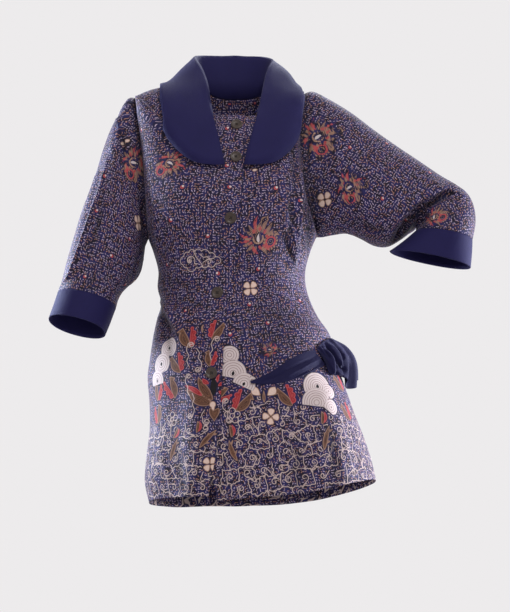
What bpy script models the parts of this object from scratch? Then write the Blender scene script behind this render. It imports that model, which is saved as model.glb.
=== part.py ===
"""Batik blouse with a roll collar, cuffed sleeves and a gathered flounce at the hip.

The blouse keeps its worn, hollow form. Sizes in the tables are millimetres; meshes are metres.
X runs to the wearer's left, Y to the back and Z up. The origin is at the base of the neck.
"""

import math

import bpy
import numpy as np
from mathutils import Vector

# Driving sizes in millimetres
MM = 0.001
CLOTH = 1.6
TRIM = 1.9
SEAM_GAP = 0.3
SHOULDER_GAP = 0.3
LAY_GAP = 0.45
COLLAR_GAP = 5.2
STAND_GAP = 0.75
UNDERLAP = 2.2
UNDERLAP_FADE = 26.0
FRONT_POWER = 2.35
BACK_POWER = 2.25
BUTTON_RADIUS = 10.3
BUTTON_HEIGHT = 3.0
BUTTON_SIDES = 18

# Grid sizes
FRONT_COLUMNS = 16
BACK_COLUMNS = 22
SLEEVE_COLUMNS = 22

# Row numbers of the underarm, the shoulder point and the neckline
UNDERARM = 13.0
SHOULDER = 20.0
NECK = 24.0

# Rows from the hem up to the underarm
# left and right are as the front is looked at
# centre_x, front_z, front_y, back_z, back_y, left_x, left_z, right_x, right_z, side_y
BODY = [
    (42, -735, -140, -722, 130, -158, -731, 242, -692, 8),
    (34, -692, -141, -680, 132, -166, -692, 234, -656, 8),
    (29, -645, -140, -634, 132, -163, -648, 221, -616, 8),
    (23, -596, -137, -588, 130, -158, -600, 206, -576, 8),
    (16, -548, -133, -542, 127, -159, -552, 192, -536, 8),
    (10, -510, -130, -506, 123, -162, -510, 181, -503, 8),
    (6, -474, -127, -470, 118, -158, -474, 171, -470, 8),
    (4, -436, -121, -434, 110, -153, -436, 163, -434, 8),
    (-2, -403, -114, -402, 103, -146, -403, 143, -403, 7),
    (-5, -374, -109, -373, 98, -139, -374, 129, -374, 6),
    (-10, -346, -109, -344, 97, -146, -345, 120, -345, 4),
    (-12, -315, -114, -312, 99, -145, -314, 119, -314, 2),
    (-12, -280, -122, -278, 104, -154, -279, 128, -278, 1),
    (-12, -250, -127, -252, 108, -163, -255, 139, -252, 0),
]

# Centre line of the rows through the armholes and over the shoulders
# centre_x, front_z, front_y, back_z, back_y, rise
YOKE = [
    (-11, -236, -128, -232, 108, 1.7),
    (-11, -219, -128, -206, 107, 1.7),
    (-10, -200, -126, -176, 106, 1.7),
    (-10, -179, -122, -145, 104, 1.7),
    (-9, -157, -118, -114, 100, 1.7),
    (-8, -136, -114, -86, 95, 1.8),
    (-8, -117, -110, -62, 90, 2.0),
    (-8, -100, -107, -40, 87, 2.4),
    (-7, -83, -103, -18, 84, 3.0),
    (-7, -66, -97, 4, 79, 4.0),
    (-7, -49, -89, 26, 73, 5.0),
]

# Shoulder seams from the shoulder point to the neck
# left_x, left_z, left_y, right_x, right_z, right_y
SHOULDERS = [
    (-190, 10, 8, 118, 18, 8),
    (-160, 23, 9, 105, 25, 9),
    (-129, 30, 10, 91, 32, 10),
    (-99, 37, 10, 75, 38, 10),
    (-70, 45, 10, 57, 45, 10),
]

# Armhole loops
# top_x, top_z, bottom_x, bottom_z, half_depth, bow
ARMHOLES = {
    "left": (-190, 10, -163, -255, 58, 4),
    "right": (118, 18, 139, -252, 58, -18),
}

# Edge of the upper front and of the lower front at the opening
# z, upper_x, lower_x
OPENING = [
    (-760, -52, -28),
    (-727, -50, -36),
    (-697, -44, -45),
    (-660, -38, -55),
    (-583, -31, -60),
    (-463, -25, -54),
    (-417, -22, -51),
    (-392, -18, -47),
    (-349, -6, -35),
    (-317, -3, -32),
    (-250, 3, -26),
    (-157, 9, -20),
    (-40, 12, -17),
]

# Soft folds of the body, as ridges and troughs between two points
# face, start_x, start_z, end_x, end_z, width, height
FOLDS = [
    ("front", -88, -192, -58, -188, 44, 11),
    ("front", 50, -190, 76, -194, 42, 10),
    ("front", -140, -372, -113, -415, 9, 6),
    ("front", -113, -415, -97, -465, 10, 5),
    ("front", -140, -392, -124, -440, 13, -5),
    ("front", 108, -60, 104, -205, 8, 5),
    ("front", 104, -205, 98, -315, 9, 5),
    ("front", 120, -215, 111, -318, 9, -7),
    ("front", 78, -235, 96, -318, 7, 3),
    ("front", -96, -300, -20, -330, 14, -3),
    ("front", 20, -345, 100, -380, 14, -3),
    ("front", 150, -560, 178, -700, 20, 6),
    ("front", 100, -590, 112, -730, 20, -4),
    ("front", -110, -560, -124, -735, 22, -4),
    ("front", -70, -545, -82, -735, 20, 4),
    ("back", -60, -300, -66, -430, 16, -5),
    ("back", 46, -300, 52, -430, 16, -5),
    ("back", -6, -500, -4, -720, 26, 7),
    ("back", 112, -520, 140, -700, 24, 6),
    ("back", -92, -520, -104, -724, 24, 6),
    ("back", -100, -120, 70, -126, 22, 4),
]

# Rings of the hanging sleeve, after its armhole
# top_x, top_z, bottom_x, bottom_z, centre_y, half_depth, front_lift
SLEEVE_RIGHT = [
    (-203, 5, -166.5, -260, 7, 60, 0),
    (-219, -22, -169, -266, 7, 66, 0),
    (-233, -50, -170, -274, 6, 70, 0),
    (-245, -84, -171, -284, 4, 71, 0),
    (-257, -125, -174, -297, 2, 70, 1),
    (-269, -167, -178, -312, -1, 68, 2),
    (-283, -208, -185, -327, -4, 65, 3),
    (-293, -244, -197, -341, -8, 62, 4),
    (-303, -282, -208, -353, -13, 58, 5),
    (-313, -324, -215, -367, -18, 55, 6),
    (-322, -361, -219, -385, -24, 52, 7),
]
CUFF_RIGHT = [
    (-323, -361.5, -219, -385.5, -24, 52.5, 7),
    (-330, -386, -227, -410, -29, 52, 7),
    (-337, -410, -236, -434, -34, 51.5, 8),
]

# Rings of the bent sleeve, after its armhole
SLEEVE_LEFT = [
    (134, 21, 150, -250, 8, 62, 0),
    (156, 11, 168, -245, 10, 68, 0),
    (202, -17, 195, -241, 13, 74, 0),
    (248, -52, 219, -249, 17, 75, 0),
    (288, -80, 245, -261, 21, 74, 0),
    (328, -106, 269, -262, 25, 72, 0),
    (366, -132, 289, -251, 28, 69, 0),
    (395, -150, 303, -238, 28, 66, 0),
    (415, -167, 312, -229, 26, 63, 0),
    (426, -192, 318, -227, 22, 60, 0),
    (428, -222, 320, -231, 17, 57, 0),
    (421, -256, 319, -238, 12, 54, 0),
]
CUFF_LEFT = [
    (421, -256.5, 318.5, -239, 12, 54.5, 0),
    (419, -282, 295, -259, 7, 48, 0),
    (416, -308, 271, -277, 2, 42, 0),
]

# Folds of the sleeves, seen from the front or the back
SLEEVE_FOLDS = {
    "sleeve_right": [
        ("front", -193, 0, -220, -42, 9, 4),
        ("front", -220, -42, -225, -100, 8, 4),
        ("front", -217, -40, -193, -105, 8, 4),
        ("front", -206, -66, -206, -130, 9, -4),
        ("front", -256, -150, -300, -330, 10, 4),
        ("front", -190, -280, -232, -335, 12, -4),
        ("back", -215, -60, -240, -200, 12, 4),
        ("back", -190, -290, -250, -320, 12, -4),
    ],
    "sleeve_left": [
        ("front", 376, -176, 323, -213, 12, -11),
        ("front", 323, -213, 286, -258, 12, -11),
        ("front", 352, -166, 300, -205, 14, 5),
        ("front", 300, -205, 262, -250, 14, 5),
        ("front", 150, -60, 158, -220, 16, -4),
        ("back", 376, -176, 323, -213, 14, -8),
        ("back", 323, -213, 286, -258, 14, -8),
        ("back", 160, -60, 172, -220, 16, 4),
    ],
}

# Collar from the right front end, round the back of the neck, to the left front end
# turn (place round the neckline), roll x, y, z, edge x, y, z, roll_radius, swell
COLLAR = [
    (-1.56, -48, -76, -38, -25, -122, -152, 1.6, 1),
    (-1.45, -52, -66, -14, -52, -124, -154, 2.6, 3),
    (-1.33, -58, -46, 15, -80, -120, -146, 3.4, 5),
    (-1.20, -66, -22, 43, -107, -108, -123, 4.0, 7),
    (-1.07, -75, -4, 64, -127, -86, -92, 4.5, 8),
    (-0.94, -83, 14, 80, -137, -52, -50, 4.8, 9),
    (-0.80, -87, 34, 92, -140, -20, -10, 5.0, 9),
    (-0.62, -83, 56, 101, -136, 16, 26, 5.0, 5),
    (-0.42, -66, 76, 107, -117, 64, 16, 5.0, 4),
    (-0.20, -37, 89, 110, -74, 95, 0, 5.0, 4),
    (0.00, -8, 93, 111, -10, 105, -6, 5.0, 4),
    (0.20, 20, 89, 109, 52, 95, 0, 5.0, 4),
    (0.42, 46, 76, 105, 92, 64, 16, 5.0, 3),
    (0.62, 60, 56, 97, 105, 6, 32, 5.0, 6),
    (0.80, 65, 34, 87, 111, -46, -4, 4.8, 9),
    (0.94, 62, 14, 76, 113, -77, -48, 4.6, 9),
    (1.07, 57, -4, 62, 107, -90, -90, 4.4, 6),
    (1.20, 51, -22, 41, 89, -108, -122, 4.0, 5),
    (1.36, 45, -44, 14, 64, -120, -144, 3.4, 4),
    (1.52, 40, -64, -12, 36, -124, -152, 2.6, 3),
    (1.66, 35, -78, -37, 9, -122, -151, 1.6, 1),
]
COLLAR_STEPS = 34
COLLAR_STAND_STEPS = 2
COLLAR_ROLL_STEPS = 3
COLLAR_FALL_STEPS = 8

# Tapered hip band on the lower front
# upper_x, upper_z, lower_x, lower_z
HIP_BAND = [
    (20, -536, 22, -540),
    (38, -529, 50, -541),
    (56, -519, 80, -537),
    (76, -505, 106, -525),
    (96, -491, 128, -512),
    (116, -480, 143, -504),
    (129, -475, 150, -500),
]

# Gathered flounce from the front of the hip round the side seam
# join x, y, z, edge x, y, z, swell, wave
FLOUNCE = [
    (134, -86, -473, 157, -87, -514, 4, 0),
    (138, -84, -467, 163, -84, -517, 12, 5),
    (143, -78, -461, 168, -70, -515, 10, -4),
    (149, -70, -455, 176, -62, -514, 14, 5),
    (154, -60, -450, 180, -46, -513, 13, -4),
    (159, -48, -446, 187, -38, -518, 16, 5),
    (163, -35, -443, 190, -22, -530, 16, -3),
    (166, -21, -441, 204, -12, -528, 18, 4),
    (168, -7, -440, 211, 4, -514, 18, -3),
    (169, 8, -440, 209, 20, -509, 16, 4),
    (168, 23, -442, 201, 36, -506, 12, -2),
    (166, 38, -446, 193, 48, -502, 8, 0),
]
FLOUNCE_COLUMNS = 38
FLOUNCE_ROWS = 6

# Buttons on the upper front, from the neck down
BUTTONS = [(-4, -70), (-5, -133), (-14, -247), (-37, -376), (-46, -521)]

# Colours as linear values
BATIK = (0.045, 0.042, 0.150, 1.0)
NAVY = (0.018, 0.014, 0.090, 1.0)
HORN = (0.060, 0.036, 0.022, 1.0)


def material(name, colour, roughness):
    """A Principled material of one colour."""
    made = bpy.data.materials.new(name)
    made.use_nodes = True
    shader = made.node_tree.nodes["Principled BSDF"]
    shader.inputs["Base Color"].default_value = colour
    shader.inputs["Roughness"].default_value = roughness
    shader.inputs["Metallic"].default_value = 0.0
    made.diffuse_color = colour
    return made


def through(table, at):
    """Values of a table at row numbers, on a smooth curve through its rows."""
    rows = np.asarray(table, dtype=float)
    at = np.clip(np.asarray(at, dtype=float), 0, len(rows) - 1)
    low = np.minimum(at.astype(int), len(rows) - 2)
    t = (at - low)[..., None]
    before = rows[np.maximum(low - 1, 0)]
    start = rows[low]
    end = rows[low + 1]
    after = rows[np.minimum(low + 2, len(rows) - 1)]
    start_slope = (end - before) / 2
    end_slope = (after - start) / 2
    return (
        start * (2 * t**3 - 3 * t**2 + 1)
        + start_slope * (t**3 - 2 * t**2 + t)
        + end * (3 * t**2 - 2 * t**3)
        + end_slope * (t**3 - t**2)
    )


def smooth(value):
    """0 to 1 with a soft start and end."""
    value = np.clip(value, 0, 1)
    return value * value * (3 - 2 * value)


def armhole(side, angle):
    """Point of an armhole loop; the angle is 0 at the shoulder and pi at the underarm."""
    top_x, top_z, bottom_x, bottom_z, depth, bow = ARMHOLES[side]
    up = (1 + np.cos(angle)) / 2
    across = np.sin(angle)
    x = bottom_x + (top_x - bottom_x) * up + bow * across**2
    z = bottom_z + (top_z - bottom_z) * up
    y = 8 * up - depth * across
    return x, y, z


def centre(row):
    """Centre columns of a row: x, front z, front y, back z, back y, rise."""
    lower = [line[:5] + (1.7,) for line in BODY]
    return np.moveaxis(through(lower + YOKE, row), -1, 0)


def side_edge(side, row, face):
    """Edge of a row at the side seam, the armhole or the shoulder seam."""
    row = np.asarray(row, dtype=float)
    low = np.moveaxis(through(BODY, np.minimum(row, UNDERARM)), -1, 0)
    high = np.moveaxis(through(SHOULDERS, np.maximum(row - SHOULDER, 0)), -1, 0)
    share = np.clip((row - UNDERARM) / (SHOULDER - UNDERARM), 0, 1)
    angle = np.pi * (1 - share)
    hole = armhole(side, angle if face == "front" else -angle)
    if side == "left":
        low_point = (low[5], low[9], low[6])
        high_point = (high[0], high[2], high[1])
    else:
        low_point = (low[7], low[9], low[8])
        high_point = (high[3], high[5], high[4])
    made = []
    for below, middle, above in zip(low_point, hole, high_point):
        made.append(np.where(row <= UNDERARM, below, np.where(row < SHOULDER, middle, above)))
    return made


def plain(face, s, row):
    """Points of the body before its folds; s runs from -1 at the left to 1 at the right."""
    s = np.asarray(s, dtype=float)
    row = np.asarray(row, dtype=float)
    centre_x, front_z, front_y, back_z, back_y, rise = centre(row)
    left = side_edge("left", row, face)
    right = side_edge("right", row, face)
    edge_x, edge_y, edge_z = [np.where(s < 0, a, b) for a, b in zip(left, right)]
    along = np.clip(np.abs(s), 0, 1)
    apart = SEAM_GAP / 2 + SHOULDER_GAP * smooth((row - SHOULDER + 1) / 1.5)
    if face == "front":
        power, middle_y, middle_z = FRONT_POWER, front_y, front_z
        edge_y = edge_y - apart
    else:
        power, middle_y, middle_z = BACK_POWER, back_y, back_z
        edge_y = edge_y + apart
    depth = (1 - along**power) ** (1 / power)
    x = centre_x + (edge_x - centre_x) * along
    y = edge_y + (middle_y - edge_y) * depth
    z = middle_z + (edge_z - middle_z) * along**rise
    return np.stack([x, y, z], axis=-1)


def fold_height(points, folds, face):
    """Height of the folds at points, as the front or the back is looked at."""
    height = np.zeros(points.shape[:-1])
    for where, start_x, start_z, end_x, end_z, width, size in folds:
        if where != face:
            continue
        run = np.array([end_x - start_x, end_z - start_z], dtype=float)
        offset = points[..., [0, 2]] - np.array([start_x, start_z], dtype=float)
        share = np.clip((offset @ run) / (run @ run), 0, 1)
        apart = np.linalg.norm(offset - share[..., None] * run, axis=-1)
        height += size * np.exp(-((apart / width) ** 2))
    return height


def grid_normals(points, closed=False):
    """Unit normals of a grid of points."""
    if closed:
        across = np.roll(points, -1, axis=1) - np.roll(points, 1, axis=1)
    else:
        across = np.gradient(points, axis=1)
    along = np.gradient(points, axis=0)
    normal = np.cross(across, along)
    return normal / np.maximum(np.linalg.norm(normal, axis=-1, keepdims=True), 1e-9)


def body(face, s, row):
    """Points and outward normals of the body with its folds, for a grid of s and row."""
    base = plain(face, s, row)
    normal = grid_normals(base)
    if face == "back":
        normal = -normal
    fade = smooth((1 - np.abs(s)) / 0.12)
    height = fold_height(base, FOLDS, face) * fade
    points = base + normal * height[..., None]
    normal = grid_normals(points)
    if face == "back":
        normal = -normal
    return points, level_edges(normal, s)


def level_edges(normal, s):
    """Normals that lie across the seam where a front meets the back."""
    level = normal * np.array([1.0, 0.0, 1.0])
    level = level / np.maximum(np.linalg.norm(level, axis=-1, keepdims=True), 1e-9)
    return np.where((np.abs(s) > 0.9999)[..., None], level, normal)


def opening_s(row, column):
    """Place of a front edge at each row, as s."""
    heights = np.array([line[0] for line in OPENING], dtype=float)
    places = np.array([line[column] for line in OPENING], dtype=float)
    s = np.zeros(len(row))
    for _ in range(4):
        here = plain("front", s, row)
        wanted = np.interp(here[:, 2], heights, places)
        centre_x = centre(row)[0]
        left_x = side_edge("left", row, "front")[0]
        right_x = side_edge("right", row, "front")[0]
        span = np.where(wanted < centre_x, centre_x - left_x, right_x - centre_x)
        s = (wanted - centre_x) / span
    return s


def panel_rows():
    """Row numbers of the panels, closer together round the armhole."""
    lower = np.linspace(0, UNDERARM, 20)
    middle = np.linspace(UNDERARM, SHOULDER, 13)[1:]
    upper = np.linspace(SHOULDER, NECK, 7)[1:]
    return np.concatenate([lower, middle, upper])


def front_panel(side, columns=FRONT_COLUMNS, rows=None):
    """Grid of points and normals of one front."""
    rows = panel_rows() if rows is None else rows
    edge = opening_s(rows, 1 if side == "left" else 2)
    far = -1.0 if side == "left" else 1.0
    start = np.arcsin(edge)
    end = far * math.pi / 2
    share = np.linspace(0, 1, columns)
    turn = start[:, None] + (end - start[:, None]) * share[None, :]
    s = np.sin(turn)
    if side == "left":
        s = s[:, ::-1]
    row = np.repeat(rows[:, None], columns, axis=1)
    points, normal = body("front", s, row)
    if side == "right":
        upper_edge = opening_s(rows, 1)
        upper_x = np.array([p[0, 0] for p in plain("front", upper_edge[:, None], rows[:, None])])
        beyond = points[..., 0] - upper_x[:, None]
        drop = 1 - smooth((beyond - 10) / UNDERLAP_FADE)
        points = points - normal * (UNDERLAP * drop)[..., None]
        low = np.clip((-600 - points[..., 2]) / 135, 0, 1)
        points[..., 2] -= 9 * low * (1 - smooth((beyond + 20) / 130))
        normal = level_edges(grid_normals(points), s)
    return points, normal


def back_panel(columns=BACK_COLUMNS, rows=None):
    """Grid of points and normals of the back."""
    rows = panel_rows() if rows is None else rows
    turn = np.linspace(-math.pi / 2, math.pi / 2, columns)
    s = np.repeat(np.sin(turn)[None, :], len(rows), axis=0)
    row = np.repeat(rows[:, None], columns, axis=1)
    return body("back", s, row)


def ring(line, angles, power=2.15):
    """One sleeve ring from its outline pair; the angle is 0 at the top."""
    top_x, top_z, bottom_x, bottom_z, centre_y, depth, lift = line
    up = np.cos(angles)
    out = np.sin(angles)
    size = (np.abs(up) ** power + np.abs(out) ** power) ** (-1 / power)
    up = up * size
    out = out * size
    x = (top_x + bottom_x) / 2 + (top_x - bottom_x) / 2 * up
    z = (top_z + bottom_z) / 2 + (top_z - bottom_z) / 2 * up + lift * out
    y = centre_y - depth * out
    return np.stack([x, y, z], axis=-1)


def sleeve(side, table, folds, columns=SLEEVE_COLUMNS, steps=2):
    """Grid of points and normals of a sleeve, from the armhole to the cuff."""
    angles = np.arange(columns) * 2 * math.pi / columns
    sign = -1 if side == "left" else 1
    x, y, z = armhole(side, angles)
    first = np.stack([x + sign * (SEAM_GAP + 0.3), y, z], axis=-1)
    rings = [first] + [ring(line, angles) for line in table]
    count = (len(rings) - 1) * steps + 1
    flat = np.array(rings).reshape(len(rings), -1)
    points = through(flat, np.linspace(0, len(rings) - 1, count)).reshape(count, columns, 3)
    normal = outward_ring_normals(points)
    share = np.linspace(0, 1, count)[:, None]
    fade = smooth(share / 0.1) * smooth((1 - share) / 0.06)
    height = np.zeros(points.shape[:-1])
    for face in ("front", "back"):
        facing = smooth(-normal[..., 1] * (1 if face == "front" else -1) / 0.5)
        height += fold_height(points, folds, face) * facing
    points = points + normal * (height * fade)[..., None]
    return points, outward_ring_normals(points)


def outward_ring_normals(points):
    """Normals of a tube grid that face away from the ring centres."""
    normal = grid_normals(points, closed=True)
    middle = points.mean(axis=1, keepdims=True)
    if ((points - middle) * normal).sum() < 0:
        normal = -normal
    return normal


def cuff(table, columns=SLEEVE_COLUMNS, steps=2):
    """Grid of points and normals of a cuff band."""
    angles = np.arange(columns) * 2 * math.pi / columns
    rings = np.array([ring(line, angles) for line in table])
    count = (len(rings) - 1) * steps + 1
    flat = rings.reshape(len(rings), -1)
    points = through(flat, np.linspace(0, len(rings) - 1, count)).reshape(count, columns, 3)
    start = points[0]
    points[0] = start + (points[1] - start) * 0.03
    return points, outward_ring_normals(points)


def body_cloud():
    """Points and normals of the body and the sleeve heads, to lay other pieces on."""
    rows = np.linspace(0, NECK, 150)
    turn = np.linspace(-math.pi / 2, math.pi / 2, 120)
    s = np.repeat(np.sin(turn)[None, :], len(rows), axis=0)
    row = np.repeat(rows[:, None], len(turn), axis=1)
    clouds = [body(face, s, row) for face in ("front", "back")]
    for side, table in (("left", SLEEVE_RIGHT), ("right", SLEEVE_LEFT)):
        clouds.append(sleeve(side, table[:5], [], 90, 12))
    points = np.concatenate([cloud[0].reshape(-1, 3) for cloud in clouds])
    normals = np.concatenate([cloud[1].reshape(-1, 3) for cloud in clouds])
    return points, normals


def nearest(cloud, points):
    """Nearest body points and their normals."""
    places, normals = cloud
    flat = points.reshape(-1, 3)
    found = np.empty(len(flat), dtype=int)
    for i, point in enumerate(flat):
        found[i] = np.argmin(((places - point) ** 2).sum(axis=1))
    return places[found].reshape(points.shape), normals[found].reshape(points.shape)


def moved_clear(cloud, points, gap):
    """Points moved out until each is at least a gap above the body."""
    for _ in range(3):
        ground, normal = nearest(cloud, points)
        above = ((points - ground) * normal).sum(axis=-1)
        points = points + normal * np.maximum(gap - above, 0)[..., None]
    return points


def collar_grid(cloud, steps=COLLAR_STEPS):
    """Grid of the collar: stand, roll and fall, from one front end to the other."""
    table = through(COLLAR, np.linspace(0, len(COLLAR) - 1, steps + 1))
    lines = []
    for turn, rx, ry, rz, ex, ey, ez, radius, swell in table:
        if abs(turn) <= 1:
            s = math.sin(turn * math.pi / 2)
            neck, below = plain("back", [s, s], [NECK, NECK - 0.3])
        else:
            s = math.copysign(math.sin((2 - abs(turn)) * math.pi / 2), turn)
            neck, below = plain("front", [s, s], [NECK, NECK - 0.3])
        inward = (neck - below) / np.linalg.norm(neck - below)
        roll = np.array([rx, ry, rz])
        edge = np.array([ex, ey, ez])
        out = edge - neck
        out[2] = 0
        out = out / np.linalg.norm(out)
        lift = np.array([0, 0, 1.0])
        foot = neck + (lift + inward) * STAND_GAP
        inner_top = roll - out * radius * 2
        line = []
        for step in range(COLLAR_STAND_STEPS):
            share = step / COLLAR_STAND_STEPS
            line.append(foot + (inner_top - foot) * share)
        for step in range(COLLAR_ROLL_STEPS + 1):
            angle = math.pi * (1 - step / COLLAR_ROLL_STEPS)
            line.append(roll - out * radius * (1 - math.cos(angle)) + lift * radius * math.sin(angle))
        for step in range(1, COLLAR_FALL_STEPS + 1):
            share = step / COLLAR_FALL_STEPS
            place = roll + (edge - roll) * share
            place = place + (out + lift * 0.6) * swell * math.sin(math.pi * share) ** 0.8
            line.append(place)
        lines.append(line)
    points = np.array(lines)
    fall = COLLAR_STAND_STEPS + COLLAR_ROLL_STEPS + 1
    for _ in range(3):
        points[:, fall:] = moved_clear(cloud, points[:, fall:], TRIM + COLLAR_GAP)
        middle = points[1:-1, fall:-1]
        around = points[:-2, fall:-1] + points[2:, fall:-1]
        around = around + points[1:-1, fall - 1 : -2] + points[1:-1, fall + 1 :]
        points[1:-1, fall:-1] = middle * 0.5 + around * 0.125
    points[:, fall:] = moved_clear(cloud, points[:, fall:], TRIM + COLLAR_GAP)
    return points


def flounce_grid(cloud):
    """Grid of the gathered flounce, from its join down to its free edge."""
    table = through(FLOUNCE, np.linspace(0, len(FLOUNCE) - 1, FLOUNCE_COLUMNS))
    down = np.linspace(0, 1, FLOUNCE_ROWS)[:, None, None]
    join = table[None, :, 0:3]
    edge = table[None, :, 3:6]
    swell = table[None, :, 6:7] + table[None, :, 7:8] * down
    out = edge - join
    out[..., 2] = 0
    out = out / np.linalg.norm(out, axis=-1, keepdims=True)
    points = join + (edge - join) * down
    points = points + (out + np.array([0, 0, 0.35])) * swell * np.sin(math.pi * down**0.75)
    points = points + out * table[None, :, 7:8] * down
    return moved_clear(cloud, points, TRIM + LAY_GAP + 0.3)


def band_grid(cloud):
    """Grid of the hip band, laid on the lower front."""
    table = through(HIP_BAND, np.linspace(0, len(HIP_BAND) - 1, 14))
    across = np.linspace(0, 1, 4)[:, None]
    x = table[None, :, 0] + (table[None, :, 2] - table[None, :, 0]) * across
    z = table[None, :, 1] + (table[None, :, 3] - table[None, :, 1]) * across
    y = np.full(x.shape, -150.0)
    places, normals = cloud
    front = places[:, 1] < 0
    places = places[front]
    normals = normals[front]
    points = np.stack([x, y, z], axis=-1)
    for index in np.ndindex(x.shape):
        apart = (places[:, 0] - x[index]) ** 2 + (places[:, 2] - z[index]) ** 2
        close = np.argsort(apart)[:4]
        weight = 1 / (apart[close] + 0.5)
        weight = weight / weight.sum()
        height = (places[close, 1] * weight).sum()
        normal = (normals[close] * weight[:, None]).sum(axis=0)
        normal = normal / np.linalg.norm(normal)
        ground = np.array([x[index], height, z[index]])
        points[index] = ground + normal * (TRIM + LAY_GAP + 0.5)
    return points


def sheet(name, points, normals, thickness, look, closed=False):
    """A sheet of cloth: the loft through the grid of its outer side, with Solidify inwards."""
    rows, columns = points.shape[:2]
    outward = (grid_normals(points, closed) * normals).sum() > 0
    spans = columns if closed else columns - 1
    faces = []
    for i in range(rows - 1):
        for j in range(spans):
            after = (j + 1) % columns
            low = i * columns
            high = low + columns
            face = (low + j, low + after, high + after, high + j)
            faces.append(face if outward else face[::-1])
    mesh = bpy.data.meshes.new(name)
    mesh.from_pydata([tuple(point) for point in points.reshape(-1, 3) * MM], [], faces)
    mesh.update()
    mesh.shade_smooth()
    mesh.materials.append(look)
    made = bpy.data.objects.new(name, mesh)
    blouse.objects.link(made)
    wall = made.modifiers.new("wall", "SOLIDIFY")
    wall.thickness = thickness * MM
    wall.offset = -1.0
    return made


def button_seat(panel, x, z):
    """Centre of a button's back and its direction, just above the panel."""
    places = panel[0].reshape(-1, 3)
    directions = panel[1].reshape(-1, 3)
    apart = np.hypot(places[:, 0] - x, places[:, 2] - z)
    under = apart < BUTTON_RADIUS
    normal = directions[under].mean(axis=0)
    normal = normal / np.linalg.norm(normal)
    place = np.array([x, places[under][:, 1].mean(), z])
    highest = ((places[under] - place) @ normal).max()
    return place + normal * (highest + SEAM_GAP + 0.25), normal


def button(name, place, normal, look):
    """A round button with a raised rim, turned from its profile and laid on the upper front."""
    profile = [
        (0.0, 0.60),
        (0.66, 0.72),
        (0.80, 1.0),
        (0.92, 0.98),
        (1.0, 0.70),
        (1.0, 0.35),
        (0.78, 0.0),
        (0.0, 0.0),
    ]
    points = [(r * BUTTON_RADIUS * MM, 0.0, h * BUTTON_HEIGHT * MM) for r, h in profile]
    edges = [(i, i + 1) for i in range(len(points) - 1)]
    mesh = bpy.data.meshes.new(name)
    mesh.from_pydata(points, edges, [])
    mesh.materials.append(look)
    made = bpy.data.objects.new(name, mesh)
    blouse.objects.link(made)
    turn = made.modifiers.new("turn", "SCREW")
    turn.axis = "Z"
    turn.steps = BUTTON_SIDES
    turn.render_steps = BUTTON_SIDES
    turn.use_merge_vertices = True
    turn.merge_threshold = 0.00002
    turn.use_smooth_shade = True
    made.location = place * MM
    made.rotation_mode = "QUATERNION"
    made.rotation_quaternion = Vector(normal).to_track_quat("Z", "Y")
    return made


def build():
    """Make every piece of the blouse."""
    cloud = body_cloud()
    points, normals = front_panel("left")
    sheet("front_right", points, normals, CLOTH, material("batik front right", BATIK, 0.85))
    points, normals = front_panel("right")
    sheet("front_left", points, normals, CLOTH, material("batik front left", BATIK, 0.85))
    points, normals = back_panel()
    sheet("back", points, normals, CLOTH, material("batik back", BATIK, 0.85))

    points, normals = sleeve("left", SLEEVE_RIGHT, SLEEVE_FOLDS["sleeve_right"])
    look = material("batik right sleeve", BATIK, 0.85)
    sheet("sleeve_right", points, normals, CLOTH, look, closed=True)
    points, normals = sleeve("right", SLEEVE_LEFT, SLEEVE_FOLDS["sleeve_left"])
    look = material("batik left sleeve", BATIK, 0.85)
    sheet("sleeve_left", points, normals, CLOTH, look, closed=True)

    points, normals = cuff(CUFF_RIGHT)
    sheet("cuff_right", points, normals, TRIM, material("navy right cuff", NAVY, 0.8), closed=True)
    points, normals = cuff(CUFF_LEFT)
    sheet("cuff_left", points, normals, TRIM, material("navy left cuff", NAVY, 0.8), closed=True)

    points = collar_grid(cloud)
    normals = grid_normals(points)
    sheet("collar", points, normals, TRIM, material("navy collar", NAVY, 0.8))

    points = band_grid(cloud)
    normals = -grid_normals(points)
    sheet("hip_band", points, normals, TRIM, material("navy hip band", NAVY, 0.8))
    points = flounce_grid(cloud)
    normals = -grid_normals(points)
    sheet("hip_flounce", points, normals, TRIM, material("navy flounce", NAVY, 0.8))

    fine = front_panel("left", 70, np.linspace(0, NECK, 220))
    for number, (x, z) in enumerate(BUTTONS, start=1):
        place, normal = button_seat(fine, x, z)
        button("button_%d" % number, place, normal, material("button %d" % number, HORN, 0.45))


for old in list(bpy.data.objects):
    bpy.data.objects.remove(old, do_unlink=True)
blouse = bpy.data.collections.new("batik_blouse")
bpy.context.scene.collection.children.link(blouse)
bpy.context.scene.unit_settings.system = "METRIC"
build()
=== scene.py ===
"""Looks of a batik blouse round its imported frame.

Lengths are millimetres except where a comment says metres. Photo positions are pixels of the
510 x 612 photo. Left and right are the wearer's in the names of pieces and of their tables. Where a
function or a table of the body has "left" or "right", it is as the front is looked at.
"""

import math

import bpy
import numpy as np
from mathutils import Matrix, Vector


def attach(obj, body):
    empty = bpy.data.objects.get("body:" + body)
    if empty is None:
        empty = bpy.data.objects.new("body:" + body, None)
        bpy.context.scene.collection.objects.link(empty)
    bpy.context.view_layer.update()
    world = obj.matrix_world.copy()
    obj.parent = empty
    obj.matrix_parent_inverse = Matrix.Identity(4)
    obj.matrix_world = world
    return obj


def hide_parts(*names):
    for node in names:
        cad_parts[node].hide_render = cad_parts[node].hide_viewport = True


MM = 0.001

# Sizes and gaps of the solids
TRIM = 1.9
SEAM_GAP = 0.3
SHOULDER_GAP = 0.3
LAY_GAP = 0.45
COLLAR_GAP = 5.2
STAND_GAP = 0.75
UNDERLAP = 2.2
UNDERLAP_FADE = 26.0
FRONT_POWER = 2.35
BACK_POWER = 2.25
RING_POWER = 2.15
LOWER_RISE = 1.7
BUTTON_RADIUS = 10.3
BUTTON_HEIGHT = 3.0

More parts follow.
